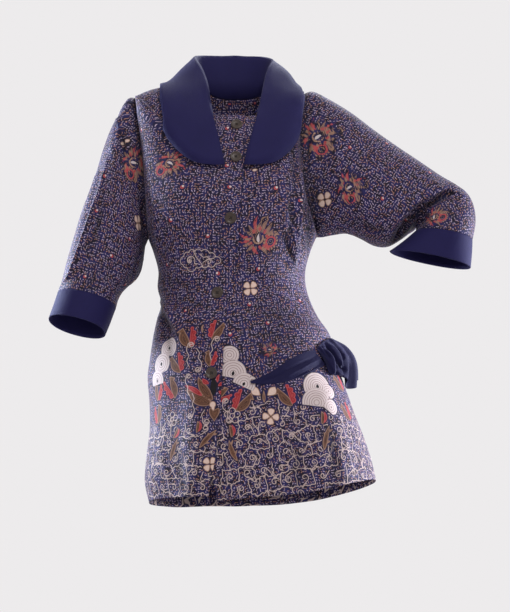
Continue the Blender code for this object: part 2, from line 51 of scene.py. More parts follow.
# Ink distance that stands for none near, and edge distance that stands for no stitches near
FAR_INK = 30.0
FAR_EDGE = 99.0

# The inner side of a cloth has every third row and column of its outer side
THIN = 3

# Row numbers of the underarm, the shoulder point and the neckline
UNDERARM = 13.0
SHOULDER = 20.0
NECK = 24.0

# Rows from the hem up to the underarm
# left and right are as the front is looked at
# centre_x, front_z, front_y, back_z, back_y, left_x, left_z, right_x, right_z, side_y
BODY = [
    (42, -735, -140, -722, 130, -158, -731, 242, -692, 8),
    (34, -692, -141, -680, 132, -166, -692, 234, -656, 8),
    (29, -645, -140, -634, 132, -163, -648, 221, -616, 8),
    (23, -596, -137, -588, 130, -158, -600, 206, -576, 8),
    (16, -548, -133, -542, 127, -159, -552, 192, -536, 8),
    (10, -510, -130, -506, 123, -162, -510, 181, -503, 8),
    (6, -474, -127, -470, 118, -158, -474, 171, -470, 8),
    (4, -436, -121, -434, 110, -153, -436, 163, -434, 8),
    (-2, -403, -114, -402, 103, -146, -403, 143, -403, 7),
    (-5, -374, -109, -373, 98, -139, -374, 129, -374, 6),
    (-10, -346, -109, -344, 97, -146, -345, 120, -345, 4),
    (-12, -315, -114, -312, 99, -145, -314, 119, -314, 2),
    (-12, -280, -122, -278, 104, -154, -279, 128, -278, 1),
    (-12, -250, -127, -252, 108, -163, -255, 139, -252, 0),
]

# Centre line of the rows through the armholes and over the shoulders
# centre_x, front_z, front_y, back_z, back_y, rise
YOKE = [
    (-11, -236, -128, -232, 108, 1.7),
    (-11, -219, -128, -206, 107, 1.7),
    (-10, -200, -126, -176, 106, 1.7),
    (-10, -179, -122, -145, 104, 1.7),
    (-9, -157, -118, -114, 100, 1.7),
    (-8, -136, -114, -86, 95, 1.8),
    (-8, -117, -110, -62, 90, 2.0),
    (-8, -100, -107, -40, 87, 2.4),
    (-7, -83, -103, -18, 84, 3.0),
    (-7, -66, -97, 4, 79, 4.0),
    (-7, -49, -89, 26, 73, 5.0),
]

# Shoulder seams from the shoulder point to the neck
# left_x, left_z, left_y, right_x, right_z, right_y
SHOULDERS = [
    (-190, 10, 8, 118, 18, 8),
    (-160, 23, 9, 105, 25, 9),
    (-129, 30, 10, 91, 32, 10),
    (-99, 37, 10, 75, 38, 10),
    (-70, 45, 10, 57, 45, 10),
]

# Armhole loops
# top_x, top_z, bottom_x, bottom_z, half_depth, bow
ARMHOLES = {
    "left": (-190, 10, -163, -255, 58, 4),
    "right": (118, 18, 139, -252, 58, -18),
}

# Edge of the upper front and of the lower front at the opening
# z, upper_x, lower_x
OPENING = [
    (-760, -52, -28),
    (-727, -50, -36),
    (-697, -44, -45),
    (-660, -38, -55),
    (-583, -31, -60),
    (-463, -25, -54),
    (-417, -22, -51),
    (-392, -18, -47),
    (-349, -6, -35),
    (-317, -3, -32),
    (-250, 3, -26),
    (-157, 9, -20),
    (-40, 12, -17),
]

# Soft folds of the body, as ridges and troughs between two points
# face, start_x, start_z, end_x, end_z, width, height
FOLDS = [
    ("front", -88, -192, -58, -188, 44, 11),
    ("front", 50, -190, 76, -194, 42, 10),
    ("front", -140, -372, -113, -415, 9, 6),
    ("front", -113, -415, -97, -465, 10, 5),
    ("front", -140, -392, -124, -440, 13, -5),
    ("front", 108, -60, 104, -205, 8, 5),
    ("front", 104, -205, 98, -315, 9, 5),
    ("front", 120, -215, 111, -318, 9, -7),
    ("front", 78, -235, 96, -318, 7, 3),
    ("front", -96, -300, -20, -330, 14, -3),
    ("front", 20, -345, 100, -380, 14, -3),
    ("front", 150, -560, 178, -700, 20, 6),
    ("front", 100, -590, 112, -730, 20, -4),
    ("front", -110, -560, -124, -735, 22, -4),
    ("front", -70, -545, -82, -735, 20, 4),
    ("back", -60, -300, -66, -430, 16, -5),
    ("back", 46, -300, 52, -430, 16, -5),
    ("back", -6, -500, -4, -720, 26, 7),
    ("back", 112, -520, 140, -700, 24, 6),
    ("back", -92, -520, -104, -724, 24, 6),
    ("back", -100, -120, 70, -126, 22, 4),
]

# Rings of the hanging sleeve, after its armhole
# top_x, top_z, bottom_x, bottom_z, centre_y, half_depth, front_lift
SLEEVE_RIGHT = [
    (-203, 5, -166.5, -260, 7, 60, 0),
    (-219, -22, -169, -266, 7, 66, 0),
    (-233, -50, -170, -274, 6, 70, 0),
    (-245, -84, -171, -284, 4, 71, 0),
    (-257, -125, -174, -297, 2, 70, 1),
    (-269, -167, -178, -312, -1, 68, 2),
    (-283, -208, -185, -327, -4, 65, 3),
    (-293, -244, -197, -341, -8, 62, 4),
    (-303, -282, -208, -353, -13, 58, 5),
    (-313, -324, -215, -367, -18, 55, 6),
    (-322, -361, -219, -385, -24, 52, 7),
]
CUFF_RIGHT = [
    (-323, -361.5, -219, -385.5, -24, 52.5, 7),
    (-330, -386, -227, -410, -29, 52, 7),
    (-337, -410, -236, -434, -34, 51.5, 8),
]

# Rings of the bent sleeve, after its armhole
SLEEVE_LEFT = [
    (134, 21, 150, -250, 8, 62, 0),
    (156, 11, 168, -245, 10, 68, 0),
    (202, -17, 195, -241, 13, 74, 0),
    (248, -52, 219, -249, 17, 75, 0),
    (288, -80, 245, -261, 21, 74, 0),
    (328, -106, 269, -262, 25, 72, 0),
    (366, -132, 289, -251, 28, 69, 0),
    (395, -150, 303, -238, 28, 66, 0),
    (415, -167, 312, -229, 26, 63, 0),
    (426, -192, 318, -227, 22, 60, 0),
    (428, -222, 320, -231, 17, 57, 0),
    (421, -256, 319, -238, 12, 54, 0),
]
CUFF_LEFT = [
    (421, -256.5, 318.5, -239, 12, 54.5, 0),
    (419, -282, 295, -259, 7, 48, 0),
    (416, -308, 271, -277, 2, 42, 0),
]

# Folds of the sleeves, seen from the front or the back
SLEEVE_FOLDS = {
    "sleeve_right": [
        ("front", -193, 0, -220, -42, 9, 4),
        ("front", -220, -42, -225, -100, 8, 4),
        ("front", -217, -40, -193, -105, 8, 4),
        ("front", -206, -66, -206, -130, 9, -4),
        ("front", -256, -150, -300, -330, 10, 4),
        ("front", -190, -280, -232, -335, 12, -4),
        ("back", -215, -60, -240, -200, 12, 4),
        ("back", -190, -290, -250, -320, 12, -4),
    ],
    "sleeve_left": [
        ("front", 376, -176, 323, -213, 12, -11),
        ("front", 323, -213, 286, -258, 12, -11),
        ("front", 352, -166, 300, -205, 14, 5),
        ("front", 300, -205, 262, -250, 14, 5),
        ("front", 150, -60, 158, -220, 16, -4),
        ("back", 376, -176, 323, -213, 14, -8),
        ("back", 323, -213, 286, -258, 14, -8),
        ("back", 160, -60, 172, -220, 16, 4),
    ],
}

# Collar from the right front end, round the back of the neck, to the left front end
# turn (place round the neckline), roll x, y, z, edge x, y, z, roll_radius, swell
COLLAR = [
    (-1.56, -48, -76, -38, -25, -122, -152, 1.6, 1),
    (-1.45, -52, -66, -14, -52, -124, -154, 2.6, 3),
    (-1.33, -58, -46, 15, -80, -120, -146, 3.4, 5),
    (-1.20, -66, -22, 43, -107, -108, -123, 4.0, 7),
    (-1.07, -75, -4, 64, -127, -86, -92, 4.5, 8),
    (-0.94, -83, 14, 80, -137, -52, -50, 4.8, 9),
    (-0.80, -87, 34, 92, -140, -20, -10, 5.0, 9),
    (-0.62, -83, 56, 101, -136, 16, 26, 5.0, 5),
    (-0.42, -66, 76, 107, -117, 64, 16, 5.0, 4),
    (-0.20, -37, 89, 110, -74, 95, 0, 5.0, 4),
    (0.00, -8, 93, 111, -10, 105, -6, 5.0, 4),
    (0.20, 20, 89, 109, 52, 95, 0, 5.0, 4),
    (0.42, 46, 76, 105, 92, 64, 16, 5.0, 3),
    (0.62, 60, 56, 97, 105, 6, 32, 5.0, 6),
    (0.80, 65, 34, 87, 111, -46, -4, 4.8, 9),
    (0.94, 62, 14, 76, 113, -77, -48, 4.6, 9),
    (1.07, 57, -4, 62, 107, -90, -90, 4.4, 6),
    (1.20, 51, -22, 41, 89, -108, -122, 4.0, 5),
    (1.36, 45, -44, 14, 64, -120, -144, 3.4, 4),
    (1.52, 40, -64, -12, 36, -124, -152, 2.6, 3),
    (1.66, 35, -78, -37, 9, -122, -151, 1.6, 1),
]
COLLAR_STEPS = 34
COLLAR_STAND_STEPS = 2
COLLAR_ROLL_STEPS = 3
COLLAR_FALL_STEPS = 8

# Tapered hip band on the lower front
# upper_x, upper_z, lower_x, lower_z
HIP_BAND = [
    (20, -536, 22, -540),
    (38, -529, 50, -541),
    (56, -519, 80, -537),
    (76, -505, 106, -525),
    (96, -491, 128, -512),
    (116, -480, 143, -504),
    (129, -475, 150, -500),
]

# Gathered flounce from the front of the hip round the side seam
# join x, y, z, edge x, y, z, swell, wave
FLOUNCE = [
    (134, -86, -473, 157, -87, -514, 4, 0),
    (138, -84, -467, 163, -84, -517, 12, 5),
    (143, -78, -461, 168, -70, -515, 10, -4),
    (149, -70, -455, 176, -62, -514, 14, 5),
    (154, -60, -450, 180, -46, -513, 13, -4),
    (159, -48, -446, 187, -38, -518, 16, 5),
    (163, -35, -443, 190, -22, -530, 16, -3),
    (166, -21, -441, 204, -12, -528, 18, 4),
    (168, -7, -440, 211, 4, -514, 18, -3),
    (169, 8, -440, 209, 20, -509, 16, 4),
    (168, 23, -442, 201, 36, -506, 12, -2),
    (166, 38, -446, 193, 48, -502, 8, 0),
]
FLOUNCE_COLUMNS = 38
FLOUNCE_ROWS = 6

# Buttons on the upper front, from the neck down: x, z
BUTTONS = [(-4, -70), (-5, -133), (-14, -247), (-37, -376), (-46, -521)]


def through(table, at):
    """Values of a table at row numbers, on a smooth curve through its rows."""
    rows = np.asarray(table, dtype=float)
    at = np.clip(np.asarray(at, dtype=float), 0, len(rows) - 1)
    low = np.minimum(at.astype(int), len(rows) - 2)
    t = (at - low)[..., None]
    before = rows[np.maximum(low - 1, 0)]
    start = rows[low]
    end = rows[low + 1]
    after = rows[np.minimum(low + 2, len(rows) - 1)]
    start_slope = (end - before) / 2
    end_slope = (after - start) / 2
    return (
        start * (2 * t**3 - 3 * t**2 + 1)
        + start_slope * (t**3 - 2 * t**2 + t)
        + end * (3 * t**2 - 2 * t**3)
        + end_slope * (t**3 - t**2)
    )


def smooth(value):
    """0 to 1 with a soft start and end."""
    value = np.clip(value, 0, 1)
    return value * value * (3 - 2 * value)


def armhole(side, angle):
    """Point of an armhole loop; the angle is 0 at the shoulder and pi at the underarm."""
    top_x, top_z, bottom_x, bottom_z, depth, bow = ARMHOLES[side]
    up = (1 + np.cos(angle)) / 2
    across = np.sin(angle)
    x = bottom_x + (top_x - bottom_x) * up + bow * across**2
    z = bottom_z + (top_z - bottom_z) * up
    y = 8 * up - depth * across
    return x, y, z


def centre(row):
    """Centre columns of a row: x, front z, front y, back z, back y, rise."""
    lower = [line[:5] + (LOWER_RISE,) for line in BODY]
    return np.moveaxis(through(lower + YOKE, row), -1, 0)


def side_edge(side, row, face):
    """Edge of a row at the side seam, the armhole or the shoulder seam."""
    row = np.asarray(row, dtype=float)
    low = np.moveaxis(through(BODY, np.minimum(row, UNDERARM)), -1, 0)
    high = np.moveaxis(through(SHOULDERS, np.maximum(row - SHOULDER, 0)), -1, 0)
    share = np.clip((row - UNDERARM) / (SHOULDER - UNDERARM), 0, 1)
    angle = np.pi * (1 - share)
    hole = armhole(side, angle if face == "front" else -angle)
    if side == "left":
        low_point = (low[5], low[9], low[6])
        high_point = (high[0], high[2], high[1])
    else:
        low_point = (low[7], low[9], low[8])
        high_point = (high[3], high[5], high[4])
    made = []
    for below, middle, above in zip(low_point, hole, high_point):
        made.append(np.where(row <= UNDERARM, below, np.where(row < SHOULDER, middle, above)))
    return made


def plain(face, s, row):
    """Points of the body before its folds; s runs from -1 at the left to 1 at the right."""
    s = np.asarray(s, dtype=float)
    row = np.asarray(row, dtype=float)
    centre_x, front_z, front_y, back_z, back_y, rise = centre(row)
    left = side_edge("left", row, face)
    right = side_edge("right", row, face)
    edge_x, edge_y, edge_z = [np.where(s < 0, a, b) for a, b in zip(left, right)]
    along = np.clip(np.abs(s), 0, 1)
    apart = SEAM_GAP / 2 + SHOULDER_GAP * smooth((row - SHOULDER + 1) / 1.5)
    if face == "front":
        power, middle_y, middle_z = FRONT_POWER, front_y, front_z
        edge_y = edge_y - apart
    else:
        power, middle_y, middle_z = BACK_POWER, back_y, back_z
        edge_y = edge_y + apart
    depth = (1 - along**power) ** (1 / power)
    x = centre_x + (edge_x - centre_x) * along
    y = edge_y + (middle_y - edge_y) * depth
    z = middle_z + (edge_z - middle_z) * along**rise
    return np.stack([x, y, z], axis=-1)


def fold_height(points, folds, face):
    """Height of the folds at points, as the front or the back is looked at."""
    height = np.zeros(points.shape[:-1])
    for where, start_x, start_z, end_x, end_z, width, size in folds:
        if where != face:
            continue
        run = np.array([end_x - start_x, end_z - start_z], dtype=float)
        offset = points[..., [0, 2]] - np.array([start_x, start_z], dtype=float)
        share = np.clip((offset @ run) / (run @ run), 0, 1)
        apart = np.linalg.norm(offset - share[..., None] * run, axis=-1)
        height += size * np.exp(-((apart / width) ** 2))
    return height


def grid_normals(points, closed=False):
    """Unit normals of a grid of points."""
    if closed:
        across = np.roll(points, -1, axis=1) - np.roll(points, 1, axis=1)
    else:
        across = np.gradient(points, axis=1)
    along = np.gradient(points, axis=0)
    normal = np.cross(across, along)
    return normal / np.maximum(np.linalg.norm(normal, axis=-1, keepdims=True), 1e-9)


def body(face, s, row):
    """Points and outward normals of the body with its folds, for a grid of s and row."""
    base = plain(face, s, row)
    normal = grid_normals(base)
    if face == "back":
        normal = -normal
    fade = smooth((1 - np.abs(s)) / 0.12)
    height = fold_height(base, FOLDS, face) * fade
    points = base + normal * height[..., None]
    normal = grid_normals(points)
    if face == "back":
        normal = -normal
    return points, level_edges(normal, s)


def level_edges(normal, s):
    """Normals that lie across the seam where a front meets the back."""
    level = normal * np.array([1.0, 0.0, 1.0])
    level = level / np.maximum(np.linalg.norm(level, axis=-1, keepdims=True), 1e-9)
    return np.where((np.abs(s) > 0.9999)[..., None], level, normal)


def opening_s(row, column):
    """Place of a front edge at each row, as s."""
    heights = np.array([line[0] for line in OPENING], dtype=float)
    places = np.array([line[column] for line in OPENING], dtype=float)
    s = np.zeros(len(row))
    for _ in range(4):
        here = plain("front", s, row)
        wanted = np.interp(here[:, 2], heights, places)
        centre_x = centre(row)[0]
        left_x = side_edge("left", row, "front")[0]
        right_x = side_edge("right", row, "front")[0]
        span = np.where(wanted < centre_x, centre_x - left_x, right_x - centre_x)
        s = (wanted - centre_x) / span
    return s


def front_panel(side, columns, rows):
    """Grid of points and normals of one front."""
    edge = opening_s(rows, 1 if side == "left" else 2)
    far = -1.0 if side == "left" else 1.0
    start = np.arcsin(edge)
    end = far * math.pi / 2
    share = np.linspace(0, 1, columns)
    turn = start[:, None] + (end - start[:, None]) * share[None, :]
    s = np.sin(turn)
    if side == "left":
        s = s[:, ::-1]
    row = np.repeat(rows[:, None], columns, axis=1)
    points, normal = body("front", s, row)
    if side == "right":
        upper_edge = opening_s(rows, 1)[:, None]
        beyond = points[..., 0] - plain("front", upper_edge, rows[:, None])[..., 0]
        # This front sinks under the other one near the opening, and its hem dips there
        drop = 1 - smooth((beyond - 10) / UNDERLAP_FADE)
        points = points - normal * (UNDERLAP * drop)[..., None]
        low = np.clip((-600 - points[..., 2]) / 135, 0, 1)
        points[..., 2] -= 9 * low * (1 - smooth((beyond + 20) / 130))
        normal = level_edges(grid_normals(points), s)
    return points, normal


def full_panel(face, columns, rows):
    """Grid of points and normals of the front or the back, from seam to seam."""
    turn = np.linspace(-math.pi / 2, math.pi / 2, columns)
    row, s = np.meshgrid(rows, np.sin(turn), indexing="ij")
    return body(face, s, row)


def ring(line, angles):
    """One sleeve ring from its outline pair; the angle is 0 at the top."""
    top_x, top_z, bottom_x, bottom_z, centre_y, depth, lift = line
    up = np.cos(angles)
    out = np.sin(angles)
    size = (np.abs(up) ** RING_POWER + np.abs(out) ** RING_POWER) ** (-1 / RING_POWER)
    up = up * size
    out = out * size
    x = (top_x + bottom_x) / 2 + (top_x - bottom_x) / 2 * up
    z = (top_z + bottom_z) / 2 + (top_z - bottom_z) / 2 * up + lift * out
    y = centre_y - depth * out
    return np.stack([x, y, z], axis=-1)


def sleeve(side, table, folds, columns, steps):
    """Grid of points and normals of a sleeve, from the armhole to the cuff."""
    angles = np.arange(columns) * 2 * math.pi / columns
    sign = -1 if side == "left" else 1
    x, y, z = armhole(side, angles)
    first = np.stack([x + sign * (SEAM_GAP + 0.3), y, z], axis=-1)
    rings = np.array([first] + [ring(line, angles) for line in table])
    points = finer_rows(rings, (len(rings) - 1) * steps + 1)
    normal = outward_ring_normals(points)
    share = np.linspace(0, 1, len(points))[:, None]
    fade = smooth(share / 0.1) * smooth((1 - share) / 0.06)
    height = np.zeros(points.shape[:-1])
    for face in ("front", "back"):
        facing = smooth(-normal[..., 1] * (1 if face == "front" else -1) / 0.5)
        height += fold_height(points, folds, face) * facing
    points = points + normal * (height * fade)[..., None]
    return points, outward_ring_normals(points)


def outward_ring_normals(points):
    """Normals of a tube grid that face away from the ring centres."""
    normal = grid_normals(points, closed=True)
    middle = points.mean(axis=1, keepdims=True)
    if ((points - middle) * normal).sum() < 0:
        normal = -normal
    return normal


def cuff(table, columns, steps):
    """Grid of points of a cuff band."""
    angles = np.arange(columns) * 2 * math.pi / columns
    rings = np.array([ring(line, angles) for line in table])
    points = finer_rows(rings, (len(rings) - 1) * steps + 1)
    points[0] += (points[1] - points[0]) * 0.03
    return points


def body_cloud():
    """Points and normals of the body and the sleeve heads, to lay other pieces on."""
    clouds = [full_panel(face, 120, np.linspace(0, NECK, 150)) for face in ("front", "back")]
    for side, table in (("left", SLEEVE_RIGHT), ("right", SLEEVE_LEFT)):
        clouds.append(sleeve(side, table[:5], [], 90, 12))
    return [np.concatenate([part.reshape(-1, 3) for part in parts]) for parts in zip(*clouds)]


def nearest(cloud, points):
    """Nearest body points and their normals."""
    places, normals = cloud
    flat = points.reshape(-1, 3)
    found = np.empty(len(flat), dtype=int)
    for i, point in enumerate(flat):
        found[i] = np.argmin(((places - point) ** 2).sum(axis=1))
    return places[found].reshape(points.shape), normals[found].reshape(points.shape)


def moved_clear(cloud, points, gap):
    """Points moved out until each is at least a gap above the body."""
    for _ in range(3):
        ground, normal = nearest(cloud, points)
        above = ((points - ground) * normal).sum(axis=-1)
        points = points + normal * np.maximum(gap - above, 0)[..., None]
    return points


def collar_grid(cloud):
    """Grid of the collar: stand, roll and fall, from one front end to the other."""
    table = through(COLLAR, np.linspace(0, len(COLLAR) - 1, COLLAR_STEPS + 1))
    lift = np.array([0, 0, 1.0])
    lines = []
    for turn, rx, ry, rz, ex, ey, ez, radius, swell in table:
        face = "back" if abs(turn) <= 1 else "front"
        s = math.sin((turn if face == "back" else math.copysign(2 - abs(turn), turn)) * math.pi / 2)
        neck, below = plain(face, [s, s], [NECK, NECK - 0.3])
        inward = (neck - below) / np.linalg.norm(neck - below)
        roll = np.array([rx, ry, rz])
        edge = np.array([ex, ey, ez])
        out = edge - neck
        out[2] = 0
        out = out / np.linalg.norm(out)
        foot = neck + (lift + inward) * STAND_GAP
        inner_top = roll - out * radius * 2
        line = []
        for step in range(COLLAR_STAND_STEPS):
            share = step / COLLAR_STAND_STEPS
            line.append(foot + (inner_top - foot) * share)
        for step in range(COLLAR_ROLL_STEPS + 1):
            angle = math.pi * (1 - step / COLLAR_ROLL_STEPS)
            line.append(roll - out * radius * (1 - math.cos(angle)) + lift * radius * math.sin(angle))
        for step in range(1, COLLAR_FALL_STEPS + 1):
            share = step / COLLAR_FALL_STEPS
            bulge = (out + lift * 0.6) * swell * math.sin(math.pi * share) ** 0.8
            line.append(roll + (edge - roll) * share + bulge)
        lines.append(line)
    points = np.array(lines)
    fall = COLLAR_STAND_STEPS + COLLAR_ROLL_STEPS + 1
    for _ in range(3):
        points[:, fall:] = moved_clear(cloud, points[:, fall:], TRIM + COLLAR_GAP)
        middle = points[1:-1, fall:-1]
        around = points[:-2, fall:-1] + points[2:, fall:-1]
        around = around + points[1:-1, fall - 1 : -2] + points[1:-1, fall + 1 :]
        points[1:-1, fall:-1] = middle * 0.5 + around * 0.125
    points[:, fall:] = moved_clear(cloud, points[:, fall:], TRIM + COLLAR_GAP)
    return points


def flounce_grid(cloud):
    """Grid of the gathered flounce, from its join down to its free edge."""
    table = through(FLOUNCE, np.linspace(0, len(FLOUNCE) - 1, FLOUNCE_COLUMNS))
    down = np.linspace(0, 1, FLOUNCE_ROWS)[:, None, None]
    join = table[None, :, 0:3]
    edge = table[None, :, 3:6]
    swell = table[None, :, 6:7] + table[None, :, 7:8] * down
    out = edge - join
    out[..., 2] = 0
    out = out / np.linalg.norm(out, axis=-1, keepdims=True)
    points = join + (edge - join) * down
    points = points + (out + np.array([0, 0, 0.35])) * swell * np.sin(math.pi * down**0.75)
    points = points + out * table[None, :, 7:8] * down
    return moved_clear(cloud, points, TRIM + LAY_GAP + 0.3)


def band_grid(cloud):
    """Grid of the hip band, laid on the lower front."""
    table = through(HIP_BAND, np.linspace(0, len(HIP_BAND) - 1, 14))
    across = np.linspace(0, 1, 4)[:, None]
    x = table[None, :, 0] + (table[None, :, 2] - table[None, :, 0]) * across
    z = table[None, :, 1] + (table[None, :, 3] - table[None, :, 1]) * across
    places, normals = cloud
    front = places[:, 1] < 0
    places = places[front]
    normals = normals[front]
    points = np.empty((*x.shape, 3))
    for index in np.ndindex(x.shape):
        apart = (places[:, 0] - x[index]) ** 2 + (places[:, 2] - z[index]) ** 2
        close = np.argsort(apart)[:4]
        weight = 1 / (apart[close] + 0.5)
        weight = weight / weight.sum()
        height = (places[close, 1] * weight).sum()
        normal = (normals[close] * weight[:, None]).sum(axis=0)
        normal = normal / np.linalg.norm(normal)
        ground = np.array([x[index], height, z[index]])
        points[index] = ground + normal * (TRIM + LAY_GAP + 0.5)
    return points


def button_seat(panel, x, z):
    """Centre of a button's back and its direction, just above the panel."""
    places = panel[0].reshape(-1, 3)
    directions = panel[1].reshape(-1, 3)
    apart = np.hypot(places[:, 0] - x, places[:, 2] - z)
    under = apart < BUTTON_RADIUS
    normal = directions[under].mean(axis=0)
    normal = normal / np.linalg.norm(normal)
    place = np.array([x, places[under][:, 1].mean(), z])
    highest = ((places[under] - place) @ normal).max()
    return place + normal * (highest + SEAM_GAP + 0.25), normal


# Camera of the photo: place in metres, upward tilt, focal length and size in photo pixels
CAMERA_AT = np.array([0.0286, -3.9, -1.150])
CAMERA_TILT = math.atan2(0.772, 3.9)
FOCAL = 2221.05
PHOTO = (510, 612)


def in_photo(points):
    """Photo positions of points given in millimetres."""
    away = points * MM - CAMERA_AT
    forward = np.array([0, math.cos(CAMERA_TILT), math.sin(CAMERA_TILT)])
    upward = np.array([0, -math.sin(CAMERA_TILT), math.cos(CAMERA_TILT)])
    depth = away @ forward
    across = PHOTO[0] / 2 + FOCAL * away[..., 0] / depth
    down = PHOTO[1] / 2 - FOCAL * (away @ upward) / depth
    return np.stack([across, down], axis=-1)


def finer_rows(points, rows):
    """A grid with another number of rows on the same smooth surface."""
    shape = points.reshape(len(points), -1)
    return through(shape, np.linspace(0, len(points) - 1, rows)).reshape(rows, -1, 3)


def finer(points, rows, columns):
    """A grid with other numbers of rows and columns on the same smooth surface."""
    points = finer_rows(points, rows).transpose(1, 0, 2)
    return finer_rows(points, columns).transpose(1, 0, 2)


# Largest grid that a flat cut is solved on, and how far one step of the solution goes
FLAT_ROWS = 30
FLAT_COLUMNS = 24
FLAT_STEP = 1.6


def flatten(points, zero, steps):
    """Flat place of each point of a grid, with lengths kept as nearly as a flat cut can."""
    rows, columns = points.shape[:2]
    few_rows = min(rows, FLAT_ROWS)
    few_columns = min(columns, FLAT_COLUMNS)
    few = finer(points, few_rows, few_columns)
    middle = few_columns // 2
    across = np.linalg.norm(np.diff(few, axis=1), axis=-1)
    along = np.linalg.norm(np.diff(few, axis=0), axis=-1)
    u = np.concatenate([np.zeros((few_rows, 1)), np.cumsum(across, axis=1)], axis=1)
    u = u - u[:, middle][:, None]
    v = np.concatenate([[0.0], np.cumsum(along[:, middle])])[:, None] * np.ones((1, few_columns))
    flat = np.stack([u, v], axis=-1).reshape(-1, 2)
    shape = few.reshape(-1, 3)
    index = np.arange(few_rows * few_columns).reshape(few_rows, few_columns)
    firsts = (index[:, :-1], index[:-1], index[:-1, :-1], index[:-1, 1:])
    lasts = (index[:, 1:], index[1:], index[1:, 1:], index[1:, :-1])
    first = np.concatenate([part.ravel() for part in firsts])
    last = np.concatenate([part.ravel() for part in lasts])
    rest = np.linalg.norm(shape[last] - shape[first], axis=1)
    count = np.bincount(first, minlength=len(flat)) + np.bincount(last, minlength=len(flat))
    moved = np.empty_like(flat)
    for _ in range(steps):
        run = flat[last] - flat[first]
        length = np.linalg.norm(run, axis=1)
        pull = run * ((length - rest) / np.maximum(length, 1e-6) * 0.5)[:, None]
        for axis in (0, 1):
            ahead = np.bincount(first, pull[:, axis], len(flat))
            moved[:, axis] = ahead - np.bincount(last, pull[:, axis], len(flat))
        flat = flat + moved / count[:, None] * FLAT_STEP
    flat = np.concatenate([flat, np.zeros((len(flat), 1))], axis=1).reshape(few_rows, few_columns, 3)
    flat = finer(flat, rows, columns)[..., :2]
    return flat - flat[0, zero]


class Cloth:
    """A sewn piece: its grid of points and normals, and the place of each point on the flat cut."""

    def __init__(self, name, points, normals, zero=0, printed=True, up=1.0, seam=False):
        rows, columns = points.shape[:2]
        if (rows - 1) % THIN:
            raise ValueError(name)
        self.name = name
        self.points = points
        self.normals = normals
        self.printed = printed
        self.up = up
        self.seam = seam
        across = np.linalg.norm(np.diff(points, axis=1), axis=-1)
        along = np.linalg.norm(np.diff(points, axis=0), axis=-1)
        self.u = np.concatenate([np.zeros((rows, 1)), np.cumsum(across, axis=1)], axis=1)
        self.v = np.concatenate([np.zeros((1, columns)), np.cumsum(along, axis=0)], axis=0)
        self.flat = flatten(points, zero, PRINTED_STEPS if printed else PLAIN_STEPS)
        self.photo = in_photo(points)
        self.hidden = ((CAMERA_AT / MM - points) * normals).sum(axis=-1) < 0
        self.ink = {key: np.full((rows, columns), FAR_INK) for key in INKS}
        self.edge = np.full((rows, columns), FAR_EDGE)
        self.run = self.u.copy()
        # Painted shade, from 0 to 1, laid on creases, seams and trims
        self.worn = np.zeros((rows, columns))
        share_v = np.linspace(0, 1, rows)[:, None]
        share_u = np.linspace(0, 1, columns)[None, :]
        side = SEAM_HOLD if seam else SIDE_HOLD
        ends = smooth(share_v / END_HOLD) * smooth((1 - share_v) / END_HOLD)
        self.hold = ends * smooth(share_u / side) * smooth((1 - share_u) / side)

    def seen(self, px, py, far=False):
        """Row and column of what is seen at a photo position, or of the side that faces away from it."""
        apart = ((self.photo - (px, py)) ** 2).sum(axis=-1) + (self.hidden != far) * 1e6
        return np.unravel_index(np.argmin(apart), apart.shape)

    def place(self, px, py):
        """Flat place and axes, to the right and up in the photo, of what is seen at a photo position."""
        row, column = self.seen(px, py)
        row = min(max(row, 1), self.photo.shape[0] - 2)
        column = min(max(column, 1), self.photo.shape[1] - 2)

        def steps(grid):
            across = grid[row, column + 1] - grid[row, column - 1]
            return np.stack([across, grid[row + 1, column] - grid[row - 1, column]], axis=1)

        turn = steps(self.flat) @ np.linalg.inv(steps(self.photo))
        right = turn @ np.array([1.0, 0.0])
        upward = turn @ np.array([0.0, -1.0])
        right = right / np.linalg.norm(right)
        side = np.array([-right[1], right[0]])
        return self.flat[row, column], right, side if side @ upward > 0 else -side

    def draw(self, kind, place, turn=0, size=1.0, axes=None):
        """Draw one motif; place is on the flat cut, or at a photo position when axes is None."""
        if axes is None:
            middle, right, upward = self.place(*place)
        else:
            middle = np.array(place, dtype=float)
            right, upward = axes
        local = (self.flat - middle) / size
        angle = math.radians(turn)
        first = local @ right
        second = local @ upward
        x = first * math.cos(angle) + second * math.sin(angle)
        y = -first * math.sin(angle) + second * math.cos(angle)
        near = np.hypot(x, y) < REACH.get(kind, REACH_MOST)
        for key, value in MOTIFS[kind](x[near], y[near]):
            old = self.ink[key][near]
            if key == "arcs":
                self.ink[key][near] = np.where(value < FAR_INK - 1, value, old)
            elif key == "curve":
                self.ink[key][near] = np.where(np.abs(value * size) < np.abs(old), value * size, old)
            else:
                self.ink[key][near] = np.minimum(old, value * size)

    def line(self, line, free):
        """Draw an open line given on the flat cut, where it is free of motifs."""
        low = np.array(line).min(axis=0) - 7
        high = np.array(line).max(axis=0) + 7
        near = ((self.flat > low) & (self.flat < high)).all(axis=-1) & free
        if not near.any():
            return
        x, y = self.flat[near].T
        signed, apart = stroke(x, y, line)
        old = self.ink["curve"][near]
        self.ink["curve"][near] = np.where(np.abs(signed) < np.abs(old), signed, old)
        self.ink["near"][near] = np.minimum(self.ink["near"][near], apart)


# Steps of the flat cut's solution
PRINTED_STEPS = 1500
PLAIN_STEPS = 300
# Shares of a cloth's length and width over which its sewn edges hold it still
END_HOLD = 0.03
SIDE_HOLD = 0.05
SEAM_HOLD = 0.02

# Ink layers: signed distances in millimetres, below 0 inside a shape
INKS = ("brown", "red", "tan", "pale", "dark", "curve", "near", "arcs")
FILLS = ("brown", "red", "tan", "pale")


def far(x):
    """Distances to a shape that is nowhere near."""
    return np.full(x.shape, FAR_INK)


def union(*shapes):
    """Signed distance to several shapes together."""
    return np.minimum.reduce(shapes)


def blob(x, y, at_x, at_y, radius):
    """Signed distance to a disc."""
    return np.hypot(x - at_x, y - at_y) - radius


